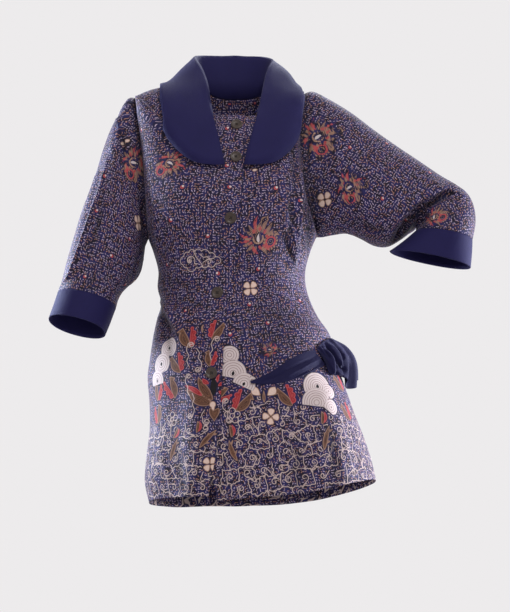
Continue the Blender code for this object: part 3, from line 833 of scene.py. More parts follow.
def leaf(x, y, x0, y0, x1, y1, width, bend=0.0, full=0.8):
    """Signed distance to a leaf from one point to another, bent to its left."""
    run_x, run_y = x1 - x0, y1 - y0
    length = math.hypot(run_x, run_y)
    t = ((x - x0) * run_x + (y - y0) * run_y) / length**2
    inside = np.clip(t, 0, 1)
    side = (-(x - x0) * run_y + (y - y0) * run_x) / length - bend * 4 * inside * (1 - inside)
    half = width * np.sin(np.pi * inside**full)
    beyond = np.maximum(-t, t - 1) * length
    return np.where(beyond > 0, np.hypot(side, beyond), np.abs(side) - half)


def stroke(x, y, line):
    """Signed and plain distance to an open line of points."""
    best = np.full(x.shape, 1e9)
    signed = far(x)
    for (x0, y0), (x1, y1) in zip(line[:-1], line[1:]):
        run_x, run_y = x1 - x0, y1 - y0
        t = np.clip(((x - x0) * run_x + (y - y0) * run_y) / (run_x**2 + run_y**2), 0, 1)
        apart = np.hypot(x - x0 - t * run_x, y - y0 - t * run_y)
        side = np.sign(-(x - x0) * run_y + (y - y0) * run_x)
        closer = apart < best
        best = np.where(closer, apart, best)
        signed = np.where(closer, apart * np.where(side == 0, 1, side), signed)
    return signed, best


def line_ink(x, y, line):
    """Ink of an open line."""
    signed, plain_distance = stroke(x, y, line)
    return [("curve", signed), ("near", plain_distance)]


def spiral(at_x, at_y, size, start, hand=1, turns=1.35, tail=()):
    """Points of a curl that winds inwards, after an optional tail."""
    made = list(tail)
    for i in range(15):
        share = i / 14
        angle = math.radians(start) + hand * share * turns * 2 * math.pi
        radius = size * (1 - 0.78 * share)
        made.append((at_x + radius * math.cos(angle), at_y + radius * math.sin(angle)))
    return made


def outline(distance):
    """Ink of a line round a closed shape."""
    return [("curve", distance), ("near", np.abs(distance))]


def dot(x, y):
    """A pale dot in a red crescent."""
    return [("red", blob(x, y, -0.9, -0.7, 3.4)), ("pale", blob(x, y, 0.5, 0.5, 2.1))]


def tan_spot(x, y):
    """A small tan bud."""
    return [("tan", leaf(x, y, -5, -1, 5, 1, 3.4))]


def petals(x, y):
    """A flower of four pale heart-shaped petals."""
    parts = [far(x)]
    for angle in (40, 130, 220, 310):
        c, s = math.cos(math.radians(angle)), math.sin(math.radians(angle))
        parts.append(leaf(x, y, 0.6 * c, 0.6 * s, 14.5 * c, 14.5 * s, 5.4, 0.0, 1.15))
        parts += [blob(x, y, 10 * c - side * s, 10 * s + side * c, 3.7) for side in (-2.6, 2.6)]
    return [("tan", union(*parts)), ("dark", blob(x, y, 0, 0, 1.3))]


# Feathers of the tailed flower: from x, y, to x, y, width, bend
FEATHERS_BROWN = [
    (11, 5, 31, 15, 2.9, 3.0), (12, 1, 40, 6, 3.4, 2.5), (12, -4, 37, -4, 3.4, -1.0),
    (10, -8, 30, -13, 3.0, -2.0), (5, 10, 12, 33, 2.8, 1.0), (-1, 12, 1, 29, 2.8, 0.5),
    (-11, 8, -27, 20, 3.0, 2.0), (-13, 2, -32, 7, 3.0, 1.0), (-11, -9, -16, -35, 3.4, 2.0),
    (0, -12, 1, -23, 2.6, 0.0), (22, -14, 28, -33, 2.9, 2.5), (9, 8, 24, 24, 2.9, 2.0),
    (-7, 11, -16, 27, 2.9, 1.0), (-13, -4, -29, -10, 3.0, -1.5), (30, 16, 43, 12, 1.4, 2.5),
    (39, 5, 47, 11, 1.4, 2.0), (-2, 29, 5, 38, 1.3, 1.5), (-16, -35, -8, -42, 1.3, -2.0),
]
FEATHERS_RED = [
    (-4, 12, -6, 43, 2.9, 6.0), (8, 11, 38, 27, 2.8, 5.0), (-17, 3, -24, -20, 3.2, -2.0),
    (-6, -13, -7, -36, 2.8, 1.0), (-12, 13, -24, 32, 2.5, 2.0), (13, 7, 22, 12, 3.0, 0.0),
    (13, -2, 24, -2, 3.0, 0.0), (4, 12, 9, 21, 3.0, 0.0), (-12, 6, -20, 11, 2.8, 0.0),
    (-11, -8, -14, -20, 2.8, 0.0),
]


def phoenix(x, y):
    """A tailed flower: a pale comma in a halo, fine brown and red feathers, and a red ring below."""
    angle = np.degrees(np.arctan2(y - 1, x)) % 360
    halo = np.abs(np.hypot(x, y - 1) - 9.5) - 2.0 + 0.7 * (np.sin(np.radians(angle * 18)) > 0.0)
    halo = np.where((angle > 95) & (angle < 345), halo, np.maximum(halo, 2.5))
    comma = leaf(x, y, -6, -4, 10, 6, 2.9, 1.5, 0.6)
    brown = [np.abs(leaf(x, y, -9, -6, 14, 9, 6.0, 1.5, 0.7)) - 0.6]
    for feather in FEATHERS_BROWN:
        shape = leaf(x, y, *feather)
        brown.append(np.maximum(shape - 0.3, 0.4 - np.abs(shape + 1.5)))
    for k in range(14):
        at = 2 * math.pi * k / 14
        brown.append(blob(x, y, 8 + 14.6 * math.cos(at), -24 + 13.0 * math.sin(at), 2.2))
    around = np.hypot(x - 8, (y + 24) * 1.1)
    brown.append(np.abs(around - 4.6) - 0.7)
    ring = np.abs(around - 9.8) - 2.4
    red = [far(x), ring + 1.2 * (np.sin(14 * np.arctan2(y + 24, x - 8)) > 0.1)]
    for x0, y0, x1, y1, width, bend in FEATHERS_RED:
        shape = leaf(x, y, x0, y0, x1, y1, width + 0.4, bend, 0.7)
        red.append(np.maximum(shape, 0.4 - np.abs(shape + 1.6)))
    red.append(blob(x, y, 13, -11, 3.0))
    return [("brown", union(*brown)), ("red", union(*red)), ("tan", halo), ("pale", comma)]


# Discs that make up the cloud: x, y, radius
PUFFS = [
    (-34, -2, 8), (-26, 6, 8), (-14, 11, 8), (-1, 12, 8), (13, 11, 9), (26, 8, 7), (36, 1, 7),
    (25, -5, 8), (12, -7, 8), (-1, -8, 8), (-15, -13, 10), (-27, -8, 8), (-8, 0, 12), (12, 2, 12),
]


def cloud(x, y):
    """A cusped cloud outline with two curls and two winding lines in it."""
    made = outline(union(far(x), *(blob(x, y, *puff) for puff in PUFFS)))
    for line in (
        [(-12, 16), (-7, 6), (-1, -1), (6, -8), (9, -13)],
        spiral(-19, -2, 11, 330, 1, 1.15, [(-3, -8)]),
        [(2, 10), (9, 5), (17, 7), (23, 3), (30, 5)],
        spiral(20, -3, 6, 160, -1, 1.1, [(10, -4)]),
    ):
        made += line_ink(x, y, line)
    return made


def domes(*parts):
    """Drawing of a stack of pale half-round stones with thin arcs; later ones lie on top.

    Each stone has a place x, y, a radius, a lean in degrees, the share of the radius at which its
    foot is cut off, and 1 for a dark core with a red drop under it or 0 for none.
    """

    def draw(x, y):
        pale, arcs, dark, red = far(x), far(x), far(x), far(x)
        for at_x, at_y, radius, lean, cut, cored in parts:
            c, s = math.cos(math.radians(lean)), math.sin(math.radians(lean))
            below = -((x - at_x) * c + (y - at_y) * s) - radius * cut
            disc = blob(x, y, at_x, at_y, radius)
            shape = np.maximum(disc, below)
            inside = shape < 0
            pale = np.minimum(pale, shape)
            arcs = np.where(shape < 0.6, np.clip(-disc, 0, 28), arcs)
            if not cored:
                dark = np.where(inside, FAR_INK, dark)
                red = np.where(inside, FAR_INK, red)
                continue
            foot_x, foot_y = at_x - radius * 0.2 * c, at_y - radius * 0.2 * s
            top_x, top_y = at_x + c * radius * 0.2, at_y + s * radius * 0.2
            core = leaf(x, y, foot_x, foot_y, top_x, top_y, 0.6 + radius * 0.09)
            dark = np.where(inside, core, np.minimum(dark, core))
            drop = blob(x, y, foot_x + s * 2, foot_y - c * 2, 0.6 + radius * 0.1)
            red = np.where(inside, drop, np.minimum(red, drop))
        return [("pale", pale), ("arcs", arcs), ("dark", dark), ("red", red)]

    return draw


def flame(x, y):
    """A curled brown leaf with red scallops along one side, point up."""
    brown = union(leaf(x, y, 3, -17, -5, 17, 6.2, 3.5), leaf(x, y, -4, 15, -14, 8, 2.6, 1.5))
    scallops = ((7, -10, 4.2), (10, -3, 4.0), (11, 5, 3.6), (9, 12, 2.8))
    red = union(leaf(x, y, 4, -15, 8, 17, 3.6, -2.0), *(blob(x, y, *disc) for disc in scallops))
    return [("brown", brown), ("red", red)]


def flame_left(x, y):
    """The same leaf turned over."""
    return flame(-x, y)


def sickle(x, y):
    """A small curved leaf, red outside and brown inside."""
    return [("brown", leaf(x, y, -3, -12, 1, 12, 4.4, -3.5)), ("red", leaf(x, y, 0, -11, 4, 12, 2.6, -4.5))]


def long_leaf(x, y):
    """A narrow brown leaf with side shoots."""
    shoots = (leaf(x, y, 0, at_y, 8 * side, at_y + 8, 1.7) for at_y, side in ((-10, 1), (0, -1), (9, 1)))
    return [("brown", union(leaf(x, y, 0, -22, 1, 22, 4.2, 2), *shoots))]


def fan_leaf(x, y):
    """Two wide leaves sweeping to the left from a pale knot, with red between them."""
    brown = union(leaf(x, y, 31, -21, -19, 5, 9.5, 6), leaf(x, y, 31, -15, 1, 27, 8.0, 3))
    red = leaf(x, y, 13, -9, -25, 11, 4.6, -2)
    tan = union(blob(x, y, 31, -22, 6.0), leaf(x, y, 31, -22, 33, -34, 3.4))
    return [("brown", brown), ("red", red), ("tan", tan)]


def stem(x, y):
    """A dark leafy stem with pale buds and red petals beside it."""
    buds = [far(x)]
    for at_y in (-12, -5, 2, 9, 15):
        buds += [blob(x, y, -3.0, at_y, 1.2), blob(x, y, 3.0, at_y + 3, 1.2)]
    red = union(
        leaf(x, y, -8, 4, -20, 15, 4.2, 2),
        leaf(x, y, 8, 0, 26, 4, 3.4, 3),
        leaf(x, y, 9, -9, 27, -13, 3.8, -2),
        leaf(x, y, 7, 6, 11, 22, 3.0, 2),
    )
    return [("dark", leaf(x, y, 0, -18, 0, 20, 5.6)), ("pale", union(*buds)), ("red", red)]


def heart(x, y):
    """A brown scalloped heart, pointing down."""
    return [("brown", union(leaf(x, y, -8, 9, 1, -15, 6.4, 3), leaf(x, y, 9, 9, 1, -15, 6.4, -3)))]


def wings(x, y):
    """A pair of pale wings on a brown stalk."""
    tan = union(leaf(x, y, -4, -4, -19, 12, 7.2, 2, 1.3), leaf(x, y, 4, -4, 19, 12, 7.2, -2, 1.3))
    return [("tan", tan), ("brown", leaf(x, y, 0, -16, 0, 6, 2.4))]


def posy(x, y):
    """A small flower drawn in outline."""
    angles = [math.radians(72 * i + 20) for i in range(5)]
    discs = (blob(x, y, 9 * math.cos(angle), 9 * math.sin(angle), 5.2) for angle in angles)
    return outline(union(far(x), *discs))


def vine(x, y):
    """A winding line that ends in a curl."""
    tail = [(-2, -34), (-7, -24), (-3, -14), (-9, -4), (-8, 4)]
    return line_ink(x, y, spiral(0, 8, 7, 200, -1, 1.4, tail))


def curl(x, y):
    """A single curl with a short tail."""
    return line_ink(x, y, spiral(0, 0, 8, 150, 1, 1.4, [(-4, 22), (-10, 13)]))


MOTIFS = {
    motif.__name__: motif
    for motif in (
        dot, tan_spot, petals, phoenix, cloud, flame, flame_left, heart, sickle, long_leaf,
        fan_leaf, stem, wings, posy, vine, curl,
    )
}
MOTIFS["rock_three"] = domes(
    (2, 26, 19, 95, 0.8, 1), (-9, -4, 20, 110, 0.8, 1), (-18, -33, 18, 100, 0.4, 1)
)
MOTIFS["rock_two"] = domes(
    (-7, 19, 17, 110, 0.8, 0), (0, -13, 23, 80, 0.35, 1), (19, -32, 20, 65, 0.25, 1), (33, -25, 7, 20, 0.6, 0)
)
MOTIFS["rock_big"] = domes(
    (3, 3, 28, 85, 0.75, 1), (24, -6, 15, 20, 0.3, 0), (-4, -28, 27, 80, 0.25, 0), (24, -37, 15, 50, 0.7, 0)
)
# Distance from its middle within which a motif is drawn, where it isn't REACH_MOST
REACH_MOST = 60.0
REACH = {
    "dot": 12.0, "tan_spot": 12.0, "petals": 26.0, "phoenix": 62.0, "cloud": 75.0,
    "rock_three": 70.0, "rock_two": 70.0, "rock_big": 90.0,
}


# Motifs in drawing order: kind, x, y, turn in degrees or 0 when left out, size or 1 when left out
# x and y are a photo position, or a flat place in millimetres on the back
PRINT = {
    "front_right": [
        ("dot", 142, 129), ("tan_spot", 135, 131), ("dot", 227.6, 128), ("dot", 227.5, 165),
        ("dot", 183, 186.5, 20), ("dot", 230.4, 186.8, -20), ("dot", 171, 220, 10),
        ("dot", 208, 236, 40), ("dot", 167, 264, 0, 0.9), ("dot", 217.5, 273.6, 120),
        ("phoenix", 170, 163, -60, 0.72), ("cloud", 199, 260, -2, 0.93), ("dot", 145, 290, 0, 0.9),
        ("dot", 186, 310, 0, 0.8), ("flame", 187, 337, 8, 1.2), ("flame_left", 217, 330, -20, 1.1),
        ("long_leaf", 202.5, 328, 4, 0.42), ("rock_three", 165, 362), ("flame", 176, 364, 25, 1.15),
        ("flame_left", 172, 388, 30, 1.2), ("flame", 158, 392, -10), ("fan_leaf", 196, 391),
        ("stem", 213, 386), ("flame", 210, 358, -8, 0.9), ("heart", 214, 413),
        ("vine", 191, 349, 0, 0.9), ("vine", 197, 365, 190, 0.9), ("vine", 189, 380, 10, 0.8),
        ("vine", 216, 343, -10, 0.9), ("vine", 190, 412, 180, 0.9), ("flame_left", 158, 414, 16, 1.05),
        ("sickle", 176, 433, -10, 0.95), ("sickle", 197, 426, 10, 0.95), ("posy", 172, 419, 0, 0.9),
        ("long_leaf", 174, 450, -16), ("long_leaf", 208, 439, -42, 1.05), ("curl", 206, 421, 0, 0.9),
        ("petals", 210, 463.6, 10),
    ],
    "front_left": [
        ("dot", 276.6, 188), ("dot", 300.5, 199.7, 0, 0.8), ("phoenix", 259, 239, 60, 0.92),
        ("dot", 258.5, 269), ("petals", 250.3, 288.7, 10, 1.05), ("dot", 250, 304, 30),
        ("dot", 268.4, 322), ("dot", 230.6, 334, 60), ("tan_spot", 255, 170), ("dot", 300, 300),
        ("rock_two", 233, 366), ("flame", 223, 394, -60, 0.9), ("flame_left", 243, 402, -25, 1.25),
        ("flame", 286, 396, 25, 1.2), ("wings", 264, 394, 0, 1.05), ("petals", 270.7, 415.8, 45, 1.05),
        ("rock_big", 316, 388, 0, 0.95), ("sickle", 231, 431, 25), ("posy", 232, 416),
        ("long_leaf", 232, 450, 24), ("sickle", 322, 417, 10, 1.05), ("long_leaf", 327, 438, -14, 1.1),
        ("flame", 346, 412, 10, 1.1), ("phoenix", 270, 350, 120, 0.42), ("vine", 227, 405, 20, 0.9),
        ("flame", 339, 382, 20, 1.2),
    ],
    "sleeve_right": [
        ("phoenix", 133, 163, -50, 0.9), ("petals", 138, 223, 5, 1.15), ("dot", 106, 175.7),
        ("dot", 96.6, 210.5), ("dot", 129.6, 238.8), ("dot", 111, 255.5, 100), ("dot", 125.7, 284),
        ("dot", 85, 276, 0, 0.9), ("phoenix", 120, 303, 170, 0.6), ("tan_spot", 128, 141, 20, 1.2),
    ],
    "sleeve_left": [
        ("phoenix", 318.5, 137.5), ("phoenix", 349, 187.6, -8, 0.8), ("petals", 325, 199, 20, 1.05),
        ("dot", 315, 218), ("dot", 351, 147), ("dot", 387.5, 143), ("dot", 429.6, 172),
        ("dot", 383.4, 197.8), ("phoenix", 434, 217, 75, 0.66), ("dot", 407, 221, 0, 0.9),
        ("dot", 331, 234, 0, 0.9),
    ],
    "back": [
        ("phoenix", -96, 610, 10, 0.9), ("phoenix", 92, 560, -20, 0.95),
        ("phoenix", -30, 440, 160, 0.9), ("phoenix", 120, 360, 20, 0.9),
        ("phoenix", -150, 372, 90, 0.9), ("petals", 12, 640, 10), ("petals", -72, 520, 30),
        ("petals", 60, 455), ("petals", -96, 330, 10), ("petals", 170, 470, 25),
        ("cloud", 34, 350, 0, 0.9), ("cloud", -150, 500, 8, 0.9), ("cloud", 60, 700, -4, 0.9),
        ("rock_big", -140, 210, 0, 0.85), ("rock_two", -20, 232, 0, 0.9),
        ("rock_three", 95, 215, 0, 0.9), ("rock_big", 176, 206, 4, 0.85),
        ("fan_leaf", -80, 210, 0, 0.95), ("stem", -52, 226, 0, 0.95), ("flame", -102, 255, 10),
        ("flame", 40, 250, -20), ("flame", 62, 200, 40, 0.9), ("flame", 138, 252, 10, 0.95),
        ("wings", 20, 176), ("petals", -20, 130, 40), ("petals", 130, 110, 10),
        ("sickle", -90, 150, 10), ("sickle", 70, 148, -10), ("long_leaf", -60, 110, 20),
        ("long_leaf", 160, 140, -20), ("posy", -120, 120), ("posy", 46, 108),
        ("vine", -10, 285, 0, 0.9), ("vine", 100, 280, 30, 0.9), ("vine", -120, 290, 10, 0.9),
    ],
}
# Border of tendrils: distance of its curls across and down, and its top edge on each panel, by
# photo position, or by flat place on the back
BORDER_PITCH = 29.0
BORDER_DROP = 25.0
# How far its corners and lines stray, the steps of a line, and its distance from the motifs
BORDER_STRAY = (3.8, 5.0)
LINE_STRAY = 2.4
LINE_STEPS = 7
MOTIF_CLEAR = 1.6
BORDER_EDGES = {
    "front_right": [(150, 428), (178, 436), (200, 430), (222, 452)],
    "front_left": [(222, 436), (240, 412), (262, 402), (286, 404), (306, 416), (330, 424), (352, 398)],
    "back": [(-260, 150), (-120, 132), (-40, 158), (60, 140), (160, 160), (260, 165)],
}


# How far scattered motifs stray, as a share of their spacing, and their size
SCATTER_STRAY = 0.16
SCATTER_SIZE = 0.9
# Distance of the middle of a scattered motif and of a scattered dot from any other motif
LARGE_CLEAR = 28.9
DOT_CLEAR = 11.9


def scatter(cloth, kinds, spacing, seed, clear, high_only):
    """Motifs on what the photo doesn't show, on an uneven grid, clear of those already drawn.

    They keep above the flat height high_only, so off the border along the hem, where it isn't None.
    """
    dice = np.random.default_rng(seed)
    flat = cloth.flat.reshape(-1, 2)
    low, high = flat.min(axis=0), flat.max(axis=0)
    hidden = cloth.hidden.reshape(-1)
    axes = (np.array([1.0, 0.0]), np.array([0.0, cloth.up]))
    row = 0
    at_v = low[1] + spacing * 0.4
    while at_v < high[1]:
        at_u = low[0] + spacing * (0.3 + 0.5 * (row % 2))
        while at_u < high[0]:
            place = np.array([at_u, at_v]) + dice.uniform(-SCATTER_STRAY, SCATTER_STRAY, 2) * spacing
            kind = kinds[int(dice.integers(len(kinds)))]
            turn = float(dice.uniform(-40, 40))
            at_u += spacing
            index = int(np.argmin(((flat - place) ** 2).sum(axis=1)))
            off_cloth = np.hypot(*(flat[index] - place)) > 4
            if off_cloth or not hidden[index] or (high_only is not None and place[1] <= high_only):
                continue
            if min(cloth.ink[key].reshape(-1)[index] for key in (*FILLS, "near")) >= clear:
                cloth.draw(kind, place, turn, SCATTER_SIZE, axes=axes)
        at_v += spacing * 0.8
        row += 1


def border(cloth, edge, seed, in_view=True):
    """Cream lines with curls below the edge line, down to the hem."""
    places = np.array([cloth.place(*spot)[0] if in_view else spot for spot in edge], dtype=float)
    order = np.argsort(places[:, 0])
    dice = np.random.default_rng(seed)
    flat = cloth.flat.reshape(-1, 2)
    low, high = flat.min(axis=0), flat.max(axis=0)
    free = union(*(cloth.ink[key] for key in (*FILLS, "dark"))) > MOTIF_CLEAR
    across = int((high[0] - low[0]) / BORDER_PITCH * 2) + 4
    down = int((high[1] - low[1]) / BORDER_DROP) + 3
    grid = np.stack(np.meshgrid(np.arange(across) * BORDER_PITCH / 2, np.arange(down) * BORDER_DROP), axis=-1)
    corners = grid + low - (10.0, 14.0) + dice.uniform(-1, 1, grid.shape) * BORDER_STRAY

    def below_edge(place):
        return place[1] < np.interp(place[0], places[order, 0], places[order, 1])

    def winding(first, last):
        run = last - first
        aside = np.array([-run[1], run[0]]) / max(np.hypot(*run), 1e-6)
        sway = dice.uniform(-LINE_STRAY, LINE_STRAY, LINE_STEPS)
        sway[0] = sway[-1] = 0
        shares = np.linspace(0, 1, LINE_STEPS)
        cloth.line([tuple(first + run * share + aside * sway[k]) for k, share in enumerate(shares)], free)

    for i in range(down - 1):
        for k in range(across - 1):
            first = corners[i, k]
            if not below_edge(first):
                continue
            if dice.uniform() < 0.8:
                winding(first, corners[i, k + 1])
            if (i + k) % 2 == 0:
                if dice.uniform() < 0.88:
                    winding(first, corners[i + 1, k])
                if k + 2 < across:
                    box = corners[i : i + 2, k : k + 3].reshape(-1, 2)
                    middle = box.mean(axis=0) + dice.uniform(-1.5, 1.5, 2)
                    hand = 1 if dice.uniform() > 0.5 else -1
                    start = float(dice.uniform(0, 360))
                    size = float(dice.uniform(5.6, 7.6))
                    turns = float(dice.uniform(0.95, 1.25))
                    angle = math.radians(start) - hand * 0.7
                    tail = middle + 13.5 * np.array([math.cos(angle), math.sin(angle)])
                    cloth.line(spiral(*middle, size, start, hand, turns, [tuple(tail)]), free)


def tone(red, green, blue):
    """Linear colour from display values up to 255."""
    made = []
    for value in (red, green, blue):
        value = value / 255
        made.append(value / 12.92 if value <= 0.04045 else ((value + 0.055) / 1.055) ** 2.4)
    return (*made, 1.0)


class Value:
    """An output in a node tree; arithmetic with it adds math nodes."""

    def __init__(self, tree, socket):
        self.tree = tree
        self.socket = socket

    def __add__(self, other):
        return self.tree.math("ADD", self, other)

    def __sub__(self, other):
        return self.tree.math("SUBTRACT", self, other)

    def __rsub__(self, other):
        return self.tree.math("SUBTRACT", other, self)

    def __mul__(self, other):
        return self.tree.math("MULTIPLY", self, other)

    def __truediv__(self, other):
        return self.tree.math("DIVIDE", self, other)

    def __abs__(self):
        return self.tree.math("ABSOLUTE", self)


class Tree:
    """Short calls for the node tree of a new material."""

    def __init__(self, name):
        self.look = bpy.data.materials.new(name)
        self.look.use_nodes = True
        self.tree = self.look.node_tree
        self.inputs = self.tree.nodes["Principled BSDF"].inputs

    def put(self, socket, value):
        """Link a value to an input, or set the input to a constant."""
        if isinstance(value, Value):
            self.tree.links.new(value.socket, socket)
        else:
            socket.default_value = value

    def node(self, kind, inputs, output, **settings):
        """Output of a new node with its inputs by name or number."""
        node = self.tree.nodes.new("ShaderNode" + kind)
        for key, value in settings.items():
            setattr(node, key, value)
        for key, value in inputs.items():
            self.put(node.inputs[key], value)
        return Value(self, node.outputs[output])

    def math(self, operation, *values):
        """Result of a math node."""
        return self.node("Math", dict(enumerate(values)), 0, operation=operation)

    def vector(self, operation, *values):
        """Result of a vector math node."""
        return self.node("VectorMath", dict(enumerate(values)), "Vector", operation=operation)

    def attribute(self, name, output="Fac"):
        """Value stored in the mesh."""
        return self.node("Attribute", {}, output, attribute_type="GEOMETRY", attribute_name=name)

    def coordinates(self):
        """Place in the object's own axes, in metres."""
        return self.node("TexCoord", {}, "Object")

    def noise(self, vector, scale, detail=2.0):
        """Soft noise on a plane."""
        inputs = {"Vector": vector, "Scale": scale, "Detail": detail}
        return self.node("TexNoise", inputs, "Fac", noise_dimensions="2D")

    def cells(self, vector, scale, randomness):
        """Middle and random colour of the cell that a place is in."""
        inputs = {"Vector": vector, "Scale": scale, "Randomness": randomness}
        middle = self.node("TexVoronoi", inputs, "Position", voronoi_dimensions="2D")
        return middle, Value(self, middle.socket.node.outputs["Color"])

    def split(self, vector):
        """The three parts of a vector."""
        node = self.tree.nodes.new("ShaderNodeSeparateXYZ")
        self.put(node.inputs[0], vector)
        return [Value(self, socket) for socket in node.outputs]

    def below(self, value, edge, soft):
        """1 where a value is under an edge, with a soft step."""
        inputs = {"Value": value, "From Min": edge + soft / 2, "From Max": edge - soft / 2}
        return self.node("MapRange", inputs, "Result", interpolation_type="SMOOTHSTEP")

    def mix(self, share, first, second, blend="MIX"):
        """Mixed colour; inputs 6 and 7 and output 2 of a mix node are its colours."""
        inputs = {0: share, 6: first, 7: second}
        return self.node("Mix", inputs, 2, data_type="RGBA", blend_type=blend)

    def toned_and_shaded(self, colour, slub):
        """The colour with the threads' uneven tone, darkened by the painted shade stored in the mesh for the
        creases, the armhole seams and the hip trims.
        """
        thread = slub * 0.14 + 0.86
        # Painted shade: the stored value darkens the colour by up to 70 percent
        deep = 1.0 - self.attribute("worn") * 0.7
        return self.mix(1.0, colour, thread * deep, "MULTIPLY")

    def bump(self, height, strength, distance):
        """Normal of a relief."""
        inputs = {"Strength": strength, "Distance": distance, "Height": height}
        return self.node("Bump", inputs, "Normal")

    def finish(self, **inputs):
        """Set inputs of the shader, with _ for a space in their names, and return the material."""
        for name, value in inputs.items():
            self.put(self.inputs[name.replace("_", " ")], value)
        return self.look


# Distance in millimetres between threads of the weave, along either of its two directions
WEAVE_PITCH = 0.55


def weave(made, flat):
    """Height of a plain weave, and its threads' uneven tone."""
    x, y, _ = made.split(flat)
    warp = made.math("SINE", x * (2 * math.pi / WEAVE_PITCH))
    weft = made.math("SINE", y * (2 * math.pi / WEAVE_PITCH))
    slub = made.noise(made.vector("MULTIPLY", flat, (0.9, 0.05, 0.0)), 1.0)
    slub_across = made.noise(made.vector("MULTIPLY", flat, (0.05, 0.9, 0.0)), 1.0)
    return warp * weft, slub + slub_across


GROUND = tone(34, 31, 76)
GROUND_DEEP = tone(25, 17, 33)
GRAIN = tone(178, 158, 180)
GRAIN_WARM = tone(168, 121, 108)
LINE = tone(176, 154, 149)
RED = tone(152, 36, 42)
RED_DEEP = tone(118, 28, 34)
RED_PALE = tone(162, 70, 72)
BROWN = tone(116, 78, 58)
BROWN_DEEP = tone(82, 54, 42)
BROWN_DARK = tone(50, 32, 30)
BROWN_RIM = tone(142, 108, 92)
TAN = tone(190, 158, 144)
TAN_PALE = tone(212, 188, 176)
PALE = tone(190, 174, 172)
STONE_LINE = tone(128, 108, 108)
DARK = tone(22, 17, 22)
NAVY_COLOUR = tone(22, 18, 56)
NAVY_WORN = tone(27, 23, 66)
NAVY_SLUB = tone(33, 29, 76)
HORN_DARK = tone(36, 26, 21)
HORN_LIGHT = tone(66, 49, 38)
THREAD = tone(44, 38, 34)
FLOOR_DARK = tone(228, 227, 229)
FLOOR_LIGHT = tone(233, 232, 234)
WALL_FRONT = tone(200, 200, 203)
WALL_BACK = tone(237, 235, 236)


# Paving of rice grains: distance between their middles, half length of the straight part, half width
GRAIN_PITCH = 4.75
GRAIN_REACH = 1.2
GRAIN_HALF = 0.62

# Stitches: distance from the edge, pitch, and the share of it that one stitch covers
STITCH_AWAY = 9.0
STITCH_PITCH = 2.8
STITCH_SHARE = 0.74


def batik(name):
    """Printed cotton: grains of rice on indigo, a curled border, and the drawn motifs."""
    made = Tree(name)
    flat = made.attribute("flat", "Vector")
    height, slub = weave(made, flat)
    fine = made.noise(flat, 0.35, 3.0)
    ink = {key: made.attribute("ink_" + key) for key in INKS}

    middle, colour = made.cells(flat, 1 / GRAIN_PITCH, 0.66)
    dx, dy, _ = made.split(made.vector("SUBTRACT", flat, middle))
    chance, second_chance, _ = made.split(colour)
    angle = made.noise(middle, 0.03, 1.0) * 15.0 + chance * 0.6
    cosine = made.math("COSINE", angle)
    sine = made.math("SINE", angle)
    past = made.math("MAXIMUM", abs(dx * cosine + dy * sine) - GRAIN_REACH, 0.0)
    aside = dy * cosine - dx * sine
    apart = made.math("SQRT", past * past + aside * aside)
    grain = made.below(apart, GRAIN_HALF, 0.5) * (chance * 0.45 + 0.55)
    grain_tone = made.mix(made.below(second_chance, 0.42, 0.3), GRAIN, GRAIN_WARM)
    ground = made.mix(made.below(made.noise(flat, 0.09, 3.0), 0.5, 0.4), GROUND, GROUND_DEEP)
    free = ink["near"]
    for key in (*FILLS, "dark"):
        free = made.math("MINIMUM", free, ink[key])
    colour = made.mix(grain * (1.0 - made.below(free, 2.0, 0.8)), ground, grain_tone)

    def inked(key, fill, rim, colour):
        colour = made.mix(made.below(ink[key], 0.0, 0.7), colour, rim)
        return made.mix(made.below(ink[key], -1.3, 0.9), colour, fill)

    def veined(key, pitch, strength, deep, light, vein):
        share = made.math("FRACT", ink[key] / pitch)
        veins = made.below(abs(share - 0.5), 0.2, 0.2) * strength
        return made.mix(veins, made.mix(fine, deep, light), vein)

    brown = veined("brown", 2.5, 0.75, BROWN_DEEP, BROWN, BROWN_DARK)
    red = veined("red", 2.3, 0.6, RED_DEEP, RED, RED_PALE)
    colour = inked("brown", brown, BROWN_RIM, colour)
    colour = inked("red", red, RED_PALE, colour)
    colour = inked("tan", made.mix(fine, TAN, TAN_PALE), BROWN_RIM, colour)
    ring = abs(made.math("FRACT", ink["arcs"] / 4.3) - 0.12)
    stone = made.mix(made.below(ring, 0.12, 0.1), PALE, STONE_LINE)
    stone = made.mix(made.math("GREATER_THAN", ink["arcs"], 28.5), stone, PALE)
    colour = made.mix(made.below(ink["pale"], 0.0, 0.7), colour, stone)
    colour = made.mix(made.below(ink["dark"], 0.0, 0.7), colour, DARK)
    drawn = made.below(abs(ink["curve"]), 0.68, 0.5) * made.below(ink["near"], 2.0, 0.5)
    colour = made.mix(drawn, colour, LINE)

    return made.finish(
        Base_Color=made.toned_and_shaded(colour, slub), Roughness=fine * 0.16 + 0.62, Sheen_Weight=0.1,
        Sheen_Roughness=0.35, Sheen_Tint=(0.72, 0.80, 1.0, 1.0), Specular_IOR_Level=0.2,
        Normal=stitches(made, height),
    )


def stitches(made, height):
    """Bump of the weave with a line of stitches beside the edges."""
    away = abs(made.attribute("edge") - STITCH_AWAY)
    share = made.math("FRACT", made.attribute("run") / STITCH_PITCH)
    line = made.below(away, 0.45, 0.3) * made.below(share, STITCH_SHARE, 0.08)
    furrow = made.below(away, 0.9, 1.2)
    return made.bump(height * 0.1 - furrow * 0.6 + line * 0.5, 0.5, 0.0006)


def navy(name):
    """Plain navy cotton."""
    made = Tree(name)
    flat = made.attribute("flat", "Vector")
    height, slub = weave(made, flat)
    colour = made.mix(made.noise(flat, 0.02, 3.0), NAVY_COLOUR, NAVY_WORN)
    colour = made.mix(slub * 0.25, colour, NAVY_SLUB)
    return made.finish(
        Base_Color=made.toned_and_shaded(colour, slub), Roughness=slub * 0.1 + 0.66, Sheen_Weight=0.08,
        Sheen_Roughness=0.4, Sheen_Tint=(0.62, 0.62, 1.0, 1.0), Specular_IOR_Level=0.16,
        Normal=stitches(made, height),
    )


